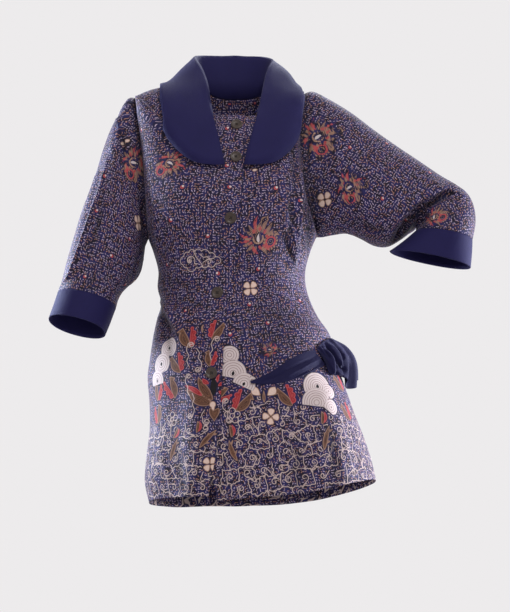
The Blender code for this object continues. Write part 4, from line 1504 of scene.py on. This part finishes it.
def horn(name):
    """Dark brown horn with a faint grain."""
    made = Tree(name)
    grain = made.noise(made.vector("MULTIPLY", made.coordinates(), (90.0, 420.0, 0.0)), 1.0, 3.0)
    return made.finish(
        Base_Color=made.mix(grain, HORN_DARK, HORN_LIGHT), Roughness=grain * 0.15 + 0.32,
        Specular_IOR_Level=0.45, Normal=made.bump(grain, 0.25, 0.0002),
    )


def plain_thread(name):
    """Dull dark sewing thread."""
    return Tree(name).finish(Base_Color=THREAD, Roughness=0.8)


def studio_floor(name):
    """Smooth light grey studio floor."""
    made = Tree(name)
    colour = made.mix(made.noise(made.coordinates(), 3.0), FLOOR_DARK, FLOOR_LIGHT)
    return made.finish(Base_Color=colour, Roughness=0.7)


def add_mesh(name, points, faces, look, soft=True):
    """A new mesh object; points are in millimetres."""
    mesh = bpy.data.meshes.new(name)
    mesh.from_pydata([tuple(point) for point in np.asarray(points) * MM], [], faces)
    if soft:
        mesh.shade_smooth()
    mesh.materials.append(look)
    mesh.update()
    made = bpy.data.objects.new(name, mesh)
    bpy.context.scene.collection.objects.link(made)
    return made


def shell(cloth, look, thickness):
    """A thin closed sheet: a fine outer side, a coarser inner side and the rims that join them."""
    points, normals = cloth.points, cloth.normals
    rows, columns = points.shape[:2]
    inner = (points - normals * thickness)[::THIN, ::THIN]
    inner_rows, inner_columns = inner.shape[:2]
    start = rows * columns

    def out(i, j):
        return i * columns + j

    def back(i, j):
        return start + i * inner_columns + j

    faces = []
    for i in range(rows - 1):
        for j in range(columns - 1):
            faces.append((out(i, j), out(i, j + 1), out(i + 1, j + 1), out(i + 1, j)))
    for i in range(inner_rows - 1):
        for j in range(inner_columns - 1):
            faces.append((back(i + 1, j), back(i + 1, j + 1), back(i, j + 1), back(i, j)))
    forwards, backwards = range(THIN + 1), range(THIN, -1, -1)
    end, last = inner_rows - 1, inner_columns - 1
    for j in range(last):
        low = [out(0, j * THIN + k) for k in backwards]
        faces.append((*low, back(0, j), back(0, j + 1)))
        high = [out(rows - 1, j * THIN + k) for k in forwards]
        faces.append((*high, back(end, j + 1), back(end, j)))
    for i in range(end):
        low = [out(i * THIN + k, 0) for k in forwards]
        faces.append((*low, back(i + 1, 0), back(i, 0)))
        high = [out(i * THIN + k, columns - 1) for k in backwards]
        faces.append((*high, back(i, last), back(i + 1, last)))
    if (grid_normals(points) * normals).sum() <= 0:
        faces = [face[::-1] for face in faces]
    everything = np.concatenate([points.reshape(-1, 3), inner.reshape(-1, 3)])
    made = add_mesh(cloth.name + "_cloth", everything, faces, look)

    def store(name, values, kind="FLOAT", field="value"):
        tail = values.shape[2:]
        both = np.concatenate([values.reshape(-1, *tail), values[::THIN, ::THIN].reshape(-1, *tail)])
        layer = made.data.attributes.new(name, kind, "POINT")
        layer.data.foreach_set(field, both.astype(np.float32).ravel())

    flat = np.concatenate([cloth.flat, np.zeros((rows, columns, 1))], axis=-1)
    store("flat", flat, "FLOAT_VECTOR", "vector")
    store("edge", cloth.edge)
    store("worn", cloth.worn)
    store("run", cloth.run)
    if cloth.printed:
        for key in INKS:
            store("ink_" + key, cloth.ink[key])
    unwrap(made.data, rows, columns)
    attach(made, "root")
    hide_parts(cloth.name)
    return made


# Size and corner in the unit square of the outer and of the inner side
OUTER_BOX = ((0.72, 0.98), (0.005, 0.01))
INNER_BOX = ((0.22, 0.98), (0.735, 0.01))


def unwrap(mesh, rows, columns):
    """Map the flat cut into the unit square: the outer side left, the inner side right, then the rims."""
    shares = np.meshgrid(np.arange(columns) / (columns - 1), np.arange(rows) / (rows - 1))
    outer = np.stack(shares, axis=-1)
    both = np.concatenate([outer.reshape(-1, 2), outer[::THIN, ::THIN].reshape(-1, 2)])
    corner = np.empty(len(mesh.loops), dtype=np.int64)
    mesh.loops.foreach_get("vertex_index", corner)
    totals = np.empty(len(mesh.polygons), dtype=np.int64)
    mesh.polygons.foreach_get("loop_total", totals)
    face_of = np.repeat(np.arange(len(totals)), totals)
    uv = both[corner]
    is_inner = corner >= rows * columns
    inner_corners = np.bincount(face_of, is_inner)
    outer_face = (inner_corners == 0)[face_of]
    inner_face = (inner_corners == totals)[face_of]
    rim_face = ~outer_face & ~inner_face
    place = np.empty_like(uv)
    for faces, (size, low) in ((outer_face, OUTER_BOX), (inner_face, INNER_BOX)):
        place[faces] = uv[faces] * size + low
    along = uv[rim_face, 1] * 0.5 + uv[rim_face, 0] * 0.48
    place[rim_face, 0] = 0.965 + 0.02 * is_inner[rim_face]
    place[rim_face, 1] = 0.01 + along
    layer = mesh.uv_layers.new(name="OFBake")
    layer.data.foreach_set("uv", place.astype(np.float32).ravel())


CREASE_DEPTH = 1.5
CREASE_STEPS = 5


def crease(cloth, creases, far=False):
    """Push the outer side along its normals by soft ridges and troughs between photo positions; troughs also
    get painted shade.
    """
    height = np.zeros(cloth.points.shape[:2])
    worn = np.zeros(cloth.points.shape[:2])
    for x0, y0, x1, y1, width, size in creases:
        line = []
        for share in np.linspace(0, 1, CREASE_STEPS + 1):
            line.append(cloth.points[cloth.seen(x0 + (x1 - x0) * share, y0 + (y1 - y0) * share, far)])
        low = np.min(line, axis=0) - width * 3
        high = np.max(line, axis=0) + width * 3
        near = ((cloth.points > low) & (cloth.points < high)).all(axis=-1)
        places = cloth.points[near]
        best = np.full(len(places), 1e9)
        along = np.zeros(len(places))
        for k in range(CREASE_STEPS):
            run = line[k + 1] - line[k]
            held = np.clip((places - line[k]) @ run / max(run @ run, 1e-6), 0, 1)
            apart = np.linalg.norm(places - line[k] - held[:, None] * run, axis=-1)
            closer = apart < best
            best = np.where(closer, apart, best)
            along = np.where(closer, (k + held) / CREASE_STEPS, along)
        taper = 0.35 + 0.65 * np.sin(np.pi * np.clip(along, 0.05, 0.95)) ** 0.6
        fold = taper * np.exp(-((best / width) ** 2))
        height[near] += CREASE_DEPTH * size * fold
        # Troughs get painted shade, stronger in deeper troughs
        if size < 0:
            worn[near] = np.maximum(worn[near], min(-size / 3, 1) * fold)
    cloth.worn = np.maximum(cloth.worn, worn)
    push(cloth, height)


def push(cloth, height):
    """Move the outer side along its normals, keeping its seams, and find the new normals."""
    cloth.points = cloth.points + cloth.normals * (height * cloth.hold)[..., None]
    if cloth.seam:
        normals = grid_normals(cloth.points[:, :-1], closed=True)
        normals = np.concatenate([normals, normals[:, :1]], axis=1)
    else:
        normals = grid_normals(cloth.points)
    if (normals * cloth.normals).sum() < 0:
        normals = -normals
    cloth.normals = normals


def ease(cloth, px, py, width, depth):
    """Ease a round place of the outer side inwards, to soften a corner of its outline."""
    apart = np.linalg.norm(cloth.points - cloth.points[cloth.seen(px, py)], axis=-1)
    push(cloth, -depth * np.exp(-((apart / width) ** 2)))


def ripples(cloth, size, length, seed):
    """Faint unevenness of well-used cotton, from a few crossing waves."""
    dice = np.random.default_rng(seed)
    height = np.zeros(cloth.points.shape[:2])
    for _ in range(9):
        angle = dice.uniform(0, math.pi)
        pitch = length * dice.uniform(0.6, 1.8)
        wave = (cloth.flat @ np.array([math.cos(angle), math.sin(angle)])) / pitch
        height += np.sin(2 * math.pi * (wave + dice.uniform())) * dice.uniform(0.4, 1.0)
    push(cloth, height * size / 4)


def stitch_at(cloth, away, run):
    """Stitches beside an edge where it is the nearest one."""
    nearer = away < cloth.edge
    cloth.edge = np.where(nearer, away, cloth.edge)
    cloth.run = np.where(nearer, run, cloth.run)


# Points along and across each outer side; the steps of a tube are for each of its rings
FRONT_ROWS, FRONT_RIGHT_COLUMNS, FRONT_LEFT_COLUMNS = 433, 130, 187
BACK_ROWS, BACK_COLUMNS = 361, 199
SLEEVE_STEPS, SLEEVE_COLUMNS = 15, 216
CUFF_STEPS, CUFF_COLUMNS = 9, 144
COLLAR_SIZE = (142, 43)
BAND_SIZE = (31, 79)
FLOUNCE_SIZE = (43, 190)


def make_fronts():
    """The two fronts, stitched along the hem and the opening."""
    rows = np.linspace(0, NECK, FRONT_ROWS)
    panel = front_panel("left", FRONT_RIGHT_COLUMNS, rows)
    right = Cloth("front_right", *panel, zero=FRONT_RIGHT_COLUMNS - 1)
    left = Cloth("front_left", *front_panel("right", FRONT_LEFT_COLUMNS, rows))
    for cloth in (right, left):
        stitch_at(cloth, cloth.v, cloth.u)
    stitch_at(right, right.u[:, -1:] - right.u + 1.5, right.v)
    stitch_at(left, left.u + 1.5, left.v)
    return right, left


def make_back():
    """The back, stitched along the hem."""
    panel = full_panel("back", BACK_COLUMNS, np.linspace(0, NECK, BACK_ROWS))
    cloth = Cloth("back", *panel, zero=BACK_COLUMNS // 2)
    stitch_at(cloth, cloth.v, cloth.u)
    return cloth


def make_sleeve(name, side, table):
    """A sleeve, on the side of the body that it hangs at as the front is looked at."""
    points, _ = sleeve(side, table, SLEEVE_FOLDS[name], SLEEVE_COLUMNS, SLEEVE_STEPS)
    return tube_cloth(name, points)


# Creases between two photo positions: x, y, x, y, width, size; a negative size makes a trough with painted
# shade
CREASES = {
    "front_right": [
        (161, 302, 174.6, 324.4, 4, 2.6), (174.6, 324.4, 183.6, 348.7, 4, 2.2),
        (156, 306, 170, 330, 6, -2.4), (166, 330, 172, 362, 8, -1.6), (154, 196, 159, 262, 7, 1.8),
        (149, 226, 156, 290, 6, -2.0), (219, 214, 221, 262, 6, -1.2), (212, 292, 200, 320, 8, 1.4),
        (178, 300, 206, 306, 7, -1.2), (150, 186, 176, 205, 10, 1.6), (160, 452, 172, 492, 9, 1.8),
        (178, 448, 184, 494, 9, -1.6), (196, 452, 199, 495, 10, 1.4), (160, 276, 196, 290, 8, -1.2),
    ],
    "front_left": [
        (290, 220, 299, 262, 3.2, 2.4), (284, 236, 297, 268, 5, -2.6), (303, 104, 302, 200, 3.0, 2.2),
        (302, 200, 298, 236, 3.0, 2.8), (298, 236, 299, 264, 3.0, 2.6), (294, 128, 295, 196, 7, -1.8),
        (292, 196, 290, 240, 6, -2.0), (262, 214, 288, 226, 10, 1.4), (272, 290, 296, 306, 8, 1.6),
        (258, 330, 300, 342, 10, -1.4), (276, 440, 280, 496, 12, 1.8), (296, 446, 300, 492, 10, -1.6),
        (316, 440, 322, 486, 11, 1.6), (340, 420, 352, 470, 9, 1.8), (330, 420, 338, 480, 9, -1.6),
        (228, 456, 230, 500, 9, 1.4), (250, 350, 290, 352, 9, 1.2), (296, 280, 318, 320, 8, -1.4),
        (311, 190, 308, 254, 8, -2.7), (258, 314, 306, 318, 22, -1.2),
    ],
    "sleeve_right": [
        (119, 125, 116, 149, 2.6, 2.4), (119, 125, 133, 158, 2.6, 2.6), (124, 128, 124, 156, 4, -2.2),
        (100, 188, 61, 297, 2.6, 3.6), (102, 206, 90, 248, 5, -2.0), (107, 160, 100, 190, 4, 1.8),
        (126, 230, 118, 286, 8, 1.6), (140, 250, 130, 284, 7, -1.8), (96, 270, 84, 300, 7, -1.4),
        (142, 176, 146, 226, 6, -2.2), (112, 200, 108, 240, 8, 1.2), (150, 262, 140, 292, 5, 1.6),
    ],
    "sleeve_left": [
        (452, 192, 419.5, 210, 5, -3.4), (424, 206, 396, 238, 7.5, -4.2),
        (410, 218, 396, 240, 8, -2.6), (448, 186, 416, 203, 4, 2.4), (414, 204, 392, 226, 5, 2.0),
        (440, 205, 424, 214, 5, 1.6), (305, 192, 300, 256, 6, -4.2), (311, 206, 304, 250, 3.2, 2.6),
        (318, 212, 309, 246, 5, -2.4), (326, 214, 316, 240, 4, 2.2), (330, 226, 356, 236, 7, 1.6),
        (352, 222, 384, 232, 8, -1.6), (360, 212, 400, 212, 10, 1.2), (309, 120, 308, 186, 4, -2.0),
        (440, 186, 464, 195, 3.5, 2.2), (315, 180, 306, 242, 18, -2.7), (404, 232, 424, 208, 9, -1.6),
    ],
    "hip_flounce": [
        (315, 352, 329, 375, 4, 2.6), (319, 349, 332, 372, 3.5, -4.2), (329, 338, 340, 350, 5, 2.4),
        (340, 350, 348, 361, 5, 2.4), (326, 343, 336, 360, 4, -4.0), (336, 360, 345, 371, 4, -3.6),
        (334, 370, 346, 378, 4, 2.0), (322, 346, 340, 372, 2.6, -2.6),
    ],
    "hip_band": [
        (282, 373, 318, 355, 2.4, -1.3), (296, 378, 326, 361, 2.4, -1.3),
        (289, 375, 322, 358, 2.4, 1.1), (262, 382, 284, 374, 3.0, -0.9),
    ],
}
# Creases of the sides that face away from the photo's camera, by the photo positions in front of them
# Troughs, with a negative size, get painted shade here too
CREASES_FAR = {
    "back": [
        (152, 196, 176, 262, 9, 3.4), (148, 214, 166, 276, 7, -3.6), (292, 198, 268, 258, 9, 3.4),
        (297, 220, 280, 280, 7, -3.6), (166, 296, 216, 305, 6, 3.0), (182, 306, 246, 313, 7, -3.4),
        (232, 300, 286, 292, 6, 3.0), (170, 324, 204, 333, 7, 2.4), (252, 318, 292, 326, 8, -2.8),
        (168, 430, 162, 500, 10, 3.2), (190, 440, 188, 500, 9, -3.4), (214, 430, 216, 500, 12, 3.2),
        (242, 440, 246, 500, 10, -3.4), (272, 430, 280, 500, 12, 3.4), (304, 436, 314, 498, 9, -3.4),
        (334, 424, 346, 490, 11, 3.0), (206, 150, 212, 232, 14, -2.2), (252, 150, 246, 224, 13, 2.0),
        (184, 352, 196, 402, 12, 2.0), (276, 350, 262, 400, 12, -2.2),
    ],
    "sleeve_right": [
        (111, 112, 116, 120, 9, -2.6), (146, 196, 112, 226, 6, -3.0), (146, 214, 108, 246, 6, 2.4),
        (140, 232, 100, 252, 7, -2.0), (124, 134, 112, 172, 7, 1.8), (136, 150, 140, 190, 6, -2.0),
        (120, 262, 92, 274, 7, 1.8), (104, 210, 84, 262, 8, -1.4), (132, 262, 112, 296, 7, -1.6),
    ],
    "sleeve_left": [
        (312, 170, 352, 208, 7, -2.6), (308, 196, 344, 226, 6, 2.2), (322, 150, 372, 168, 9, 1.6),
        (360, 186, 404, 216, 7, -2.2), (372, 176, 420, 202, 6, 2.2), (444, 196, 420, 218, 5, -2.8),
        (450, 206, 434, 222, 4, 2.2), (336, 120, 392, 152, 10, -1.2),
    ],
}


def armhole_shade(cloth, side):
    """Painted shade along the part of a front's outer edge that is sewn to the sleeve.

    The part lies between the heights -215 and -40.
    """
    height = cloth.points[:, side, 2][:, None]
    reach = smooth((height + 215) / 30) * smooth((-40 - height) / 40)
    away = cloth.u if side == 0 else cloth.u[:, -1:] - cloth.u
    return 0.8 * reach * np.exp(-((away / 9) ** 2))


def tube_cloth(name, points, printed=True):
    """A tube of cloth, cut open and sewn along its lowest line."""
    points = finer_rows(points, (len(points) - 1) // THIN * THIN + 1)
    points = np.roll(points, -points.shape[1] // 2, axis=1)
    normals = outward_ring_normals(points)
    points = np.concatenate([points, points[:, :1]], axis=1)
    normals = np.concatenate([normals, normals[:, :1]], axis=1)
    return Cloth(name, points, normals, points.shape[1] // 2, printed, up=-1.0, seam=True)


def make_collar(cloud):
    """The collar, stitched along its free edge."""
    points = finer(collar_grid(cloud), *COLLAR_SIZE)
    cloth = Cloth("collar", points, grid_normals(points), printed=False)
    stitch_at(cloth, cloth.u[:, -1:] - cloth.u + 3, cloth.v)
    return cloth


def make_trim(name, points):
    """The hip band or the flounce, with painted shade over all of it that makes it a little darker than the
    other trims.
    """
    cloth = Cloth(name, points, -grid_normals(points), printed=False)
    crease(cloth, CREASES[name])
    # Painted shade over the whole band or flounce
    cloth.worn = np.maximum(cloth.worn, 0.5)
    return cloth


def make_cuff(name, table):
    """A cuff band, stitched along both edges."""
    cloth = tube_cloth(name, cuff(table, CUFF_COLUMNS, CUFF_STEPS), printed=False)
    stitch_at(cloth, cloth.v + 5, cloth.u)
    stitch_at(cloth, cloth.v[-1:] - cloth.v + 5, cloth.u)
    return cloth


def seat(made, place, normal):
    """Put an object on a place given in millimetres, its z axis along a normal."""
    made.location = place * MM
    made.rotation_mode = "QUATERNION"
    made.rotation_quaternion = Vector(normal).to_track_quat("Z", "Y")
    return made


# Profile of a button from its middle over the front to the back, as shares of radius and height
BUTTON_PROFILE = [
    (0.30, 0.52), (0.52, 0.54), (0.64, 0.62), (0.72, 0.86), (0.79, 0.99), (0.86, 1.0), (0.93, 0.95),
    (0.98, 0.80), (1.0, 0.60), (0.99, 0.40), (0.93, 0.18), (0.80, 0.04), (0.55, 0.0),
]
BUTTON_SIDES = 56
# Holes: their place from the middle along x and y, and their radius
HOLE_AT = 1.5
HOLE_RADIUS = 0.95
# Thread: its radius, points round and along one bar, and half the distance of two bars side by side
THREAD_RADIUS = 0.27
THREAD_SIDES = 6
THREAD_STEPS = 8
THREAD_ASIDE = 0.28


def make_button(name, place, normal, look):
    """A turned button with a rim and four holes."""
    sides, rings = BUTTON_SIDES, len(BUTTON_PROFILE)
    points = []
    faces = []
    for r, h in BUTTON_PROFILE:
        for k in range(sides):
            angle = 2 * math.pi * k / sides
            reach = r * BUTTON_RADIUS
            points.append((reach * math.cos(angle), reach * math.sin(angle), h * BUTTON_HEIGHT))
    for i in range(rings - 1):
        for k in range(sides):
            after = (k + 1) % sides
            faces.append((i * sides + k, (i + 1) * sides + k, (i + 1) * sides + after, i * sides + after))
    faces.append(tuple(range(sides)))
    faces.append(tuple(range((rings - 1) * sides, rings * sides))[::-1])
    made = add_mesh(name + "_turned", points, faces, look)
    cutters = []
    for x, y in ((1, 1), (-1, 1), (-1, -1), (1, -1)):
        at = (x * HOLE_AT * MM, y * HOLE_AT * MM, 0)
        bpy.ops.mesh.primitive_cylinder_add(vertices=16, radius=HOLE_RADIUS * MM, depth=8 * MM, location=at)
        cutters.append(bpy.context.object)
        hole = made.modifiers.new("hole", "BOOLEAN")
        hole.solver = "EXACT"
        hole.object = cutters[-1]
    bpy.context.view_layer.update()
    graph = bpy.context.evaluated_depsgraph_get()
    solid = bpy.data.meshes.new_from_object(made.evaluated_get(graph))
    made.modifiers.clear()
    made.data = solid
    for cutter in cutters:
        bpy.data.objects.remove(cutter, do_unlink=True)
    return seat(made, place, normal)


def thread_cross(name, place, normal, look):
    """Two crossed pairs of bars of sewing thread between the holes of a button."""
    up = np.array([0, 0, 1.0])
    sides = THREAD_SIDES
    points = []
    faces = []
    for hand in (1, -1):
        foot = np.array([hand * HOLE_AT, HOLE_AT, 0.0])
        run = np.array([-2 * hand * HOLE_AT, -2 * HOLE_AT, 0.0])
        aside = np.array([-run[1], run[0], 0.0]) / np.linalg.norm(run)
        for offset in (-THREAD_ASIDE, THREAD_ASIDE):
            start = len(points)
            for i in range(THREAD_STEPS + 1):
                share = i / THREAD_STEPS
                lift = BUTTON_HEIGHT * 0.50 + 0.55 * math.sin(math.pi * share)
                middle = foot + run * share + aside * offset + up * lift
                for k in range(sides):
                    angle = 2 * math.pi * k / sides
                    out = aside * math.cos(angle) + up * math.sin(angle)
                    points.append(middle + out * THREAD_RADIUS)
            for i in range(THREAD_STEPS):
                low = start + i * sides
                for k in range(sides):
                    after = (k + 1) % sides
                    faces.append((low + k, low + after, low + sides + after, low + sides + k))
            faces.append(tuple(range(start + sides - 1, start - 1, -1)))
            faces.append(tuple(range(start + THREAD_STEPS * sides, start + (THREAD_STEPS + 1) * sides)))
    return seat(add_mesh(name + "_thread", points, faces, look), place, normal)


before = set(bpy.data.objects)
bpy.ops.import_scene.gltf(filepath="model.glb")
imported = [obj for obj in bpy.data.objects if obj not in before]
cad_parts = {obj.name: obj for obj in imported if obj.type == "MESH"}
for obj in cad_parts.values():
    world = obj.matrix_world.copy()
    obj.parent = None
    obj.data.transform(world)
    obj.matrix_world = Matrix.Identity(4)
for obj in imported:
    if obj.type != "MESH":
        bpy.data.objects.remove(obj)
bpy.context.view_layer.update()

form = body_cloud()
front_right, front_left = make_fronts()
back = make_back()
sleeve_right = make_sleeve("sleeve_right", "left", SLEEVE_RIGHT)
sleeve_left = make_sleeve("sleeve_left", "right", SLEEVE_LEFT)

for cloth in (front_right, front_left, sleeve_right, sleeve_left):
    for kind, x, y, *how in PRINT[cloth.name]:
        cloth.draw(kind, (x, y), *how)
LEVEL = (np.array([1.0, 0.0]), np.array([0.0, 1.0]))
for kind, u, v, *how in PRINT["back"]:
    back.draw(kind, (u, v), *how, axes=LEVEL)
border(front_right, BORDER_EDGES["front_right"], 3)
border(front_left, BORDER_EDGES["front_left"], 4)
border(back, BORDER_EDGES["back"], 5, in_view=False)
for number, cloth in enumerate((front_right, front_left, sleeve_right, sleeve_left, back)):
    sleeved = cloth in (sleeve_right, sleeve_left)
    large = ["phoenix", "petals", "petals", "cloud"]
    scatter(cloth, large, 150, 11 + number, LARGE_CLEAR, None if sleeved else 260)
    scatter(cloth, ["dot"], 58, 31 + number, DOT_CLEAR, None if sleeved else 230)

# Painted shade along the armhole edges of the fronts
front_right.worn = np.maximum(front_right.worn, armhole_shade(front_right, 0))
front_left.worn = np.maximum(front_left.worn, armhole_shade(front_left, -1))
# Painted shade round the sleeve heads, next to the armhole seams
for cloth in (sleeve_right, sleeve_left):
    cloth.worn = np.maximum(cloth.worn, 0.75 * np.exp(-((cloth.v / 9) ** 2)))

for cloth in (front_right, front_left, sleeve_right, sleeve_left):
    crease(cloth, CREASES[cloth.name])
ease(sleeve_right, 113, 116, 17, 5.0)
for cloth in (back, sleeve_right, sleeve_left):
    crease(cloth, CREASES_FAR[cloth.name], far=True)
for number, cloth in enumerate((front_right, front_left, back, sleeve_right, sleeve_left)):
    ripples(cloth, 1.1, 120, 51 + number)

collar = make_collar(form)
cuff_right = make_cuff("cuff_right", CUFF_RIGHT)
cuff_left = make_cuff("cuff_left", CUFF_LEFT)
hip_band = make_trim("hip_band", finer(band_grid(form), *BAND_SIZE))
hip_flounce = make_trim("hip_flounce", finer(flounce_grid(form), *FLOUNCE_SIZE))
for number, cloth in enumerate((collar, cuff_right, cuff_left)):
    ripples(cloth, 0.7, 70, 71 + number)

# Thickness of the shells, within the solids' walls
PRINTED_THICKNESS = 1.2
PLAIN_THICKNESS = 1.5
for cloth in (front_right, front_left, back, sleeve_right, sleeve_left):
    shell(cloth, batik("batik " + cloth.name.replace("_", " ")), PRINTED_THICKNESS)
for cloth in (collar, cuff_right, cuff_left, hip_band, hip_flounce):
    shell(cloth, navy("navy " + cloth.name.replace("_", " ")), PLAIN_THICKNESS)

# The buttons lie on the plain upper front, as they do in the solids
upper_front = front_panel("left", 70, np.linspace(0, NECK, 220))
thread = plain_thread("thread")
for number, (x, z) in enumerate(BUTTONS, start=1):
    place, normal = button_seat(upper_front, x, z)
    name = "button_%d" % number
    disc = make_button(name, place, normal, horn("horn %d" % number))
    cross = thread_cross(name, place, normal, thread)
    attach(disc, "root")
    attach(cross, "root")
    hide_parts(name)

SENSOR = 36
camera_data = bpy.data.cameras.new("camera")
camera_data.sensor_fit = "HORIZONTAL"
camera_data.sensor_width = SENSOR
camera_data.lens = FOCAL / PHOTO[0] * SENSOR
camera = bpy.data.objects.new("camera", camera_data)
camera.location = CAMERA_AT
camera.rotation_euler = (math.pi / 2 + CAMERA_TILT, 0, 0)
bpy.context.scene.collection.objects.link(camera)
bpy.context.scene.camera = camera

FLOOR_REACH = 60000
FLOOR_HEIGHT = -1440
corners = np.array([(-1, -1, 0), (1, -1, 0), (1, 1, 0), (-1, 1, 0)]) * FLOOR_REACH + (0, 0, FLOOR_HEIGHT)
floor = add_mesh("floor", corners, [(0, 1, 2, 3)], studio_floor("floor"), soft=False)


def lamp(name, place, aim, size, power, colour=(1.0, 1.0, 1.0), spread=180):
    """A soft square light; place and aim are in metres."""
    data = bpy.data.lights.new(name, "AREA")
    data.shape = "SQUARE"
    data.size = size
    data.energy = power
    data.color = colour
    data.spread = math.radians(spread)
    made = bpy.data.objects.new(name, data)
    made.location = place
    made.rotation_mode = "QUATERNION"
    made.rotation_quaternion = (Vector(aim) - Vector(place)).to_track_quat("-Z", "Y")
    made.visible_camera = False
    bpy.context.scene.collection.objects.link(made)


lamp("key", (1.0, -2.4, 1.9), (0.0, 0.0, -0.35), 0.55, 46)
lamp("fill", (-1.8, -2.8, -0.2), (0.0, 0.0, -0.4), 1.6, 7)
lamp("top_rim", (0.3, 1.0, 1.2), (0.05, 0.0, -0.1), 0.5, 3, (0.86, 0.9, 1.0), 60)
lamp("rim_left", (-1.5, 0.5, 0.0), (-0.15, 0.0, -0.42), 0.5, 10, (0.74, 0.85, 1.0), 60)
lamp("rim_right", (1.6, 0.4, -0.5), (0.2, 0.0, -0.5), 0.5, 6.5, (0.84, 0.88, 1.0), 50)

# World: bright behind the blouse, as a lit studio wall, and dimmer in front of it
world = bpy.data.worlds.new("world")
world.use_nodes = True
nodes = world.node_tree.nodes
links = world.node_tree.links
direction = nodes.new("ShaderNodeTexCoord")
parts = nodes.new("ShaderNodeSeparateXYZ")
wall = nodes.new("ShaderNodeMapRange")
wall.interpolation_type = "SMOOTHSTEP"
wall.inputs["From Min"].default_value = -0.35
wall.inputs["From Max"].default_value = 0.75
blend = nodes.new("ShaderNodeMix")
blend.data_type = "RGBA"
blend.inputs[6].default_value = WALL_FRONT
blend.inputs[7].default_value = WALL_BACK
links.new(direction.outputs["Generated"], parts.inputs[0])
links.new(parts.outputs["Y"], wall.inputs["Value"])
links.new(wall.outputs["Result"], blend.inputs[0])
links.new(blend.outputs[2], nodes["Background"].inputs["Color"])
bpy.context.scene.world = world
bpy.context.scene.view_settings.view_transform = "Standard"
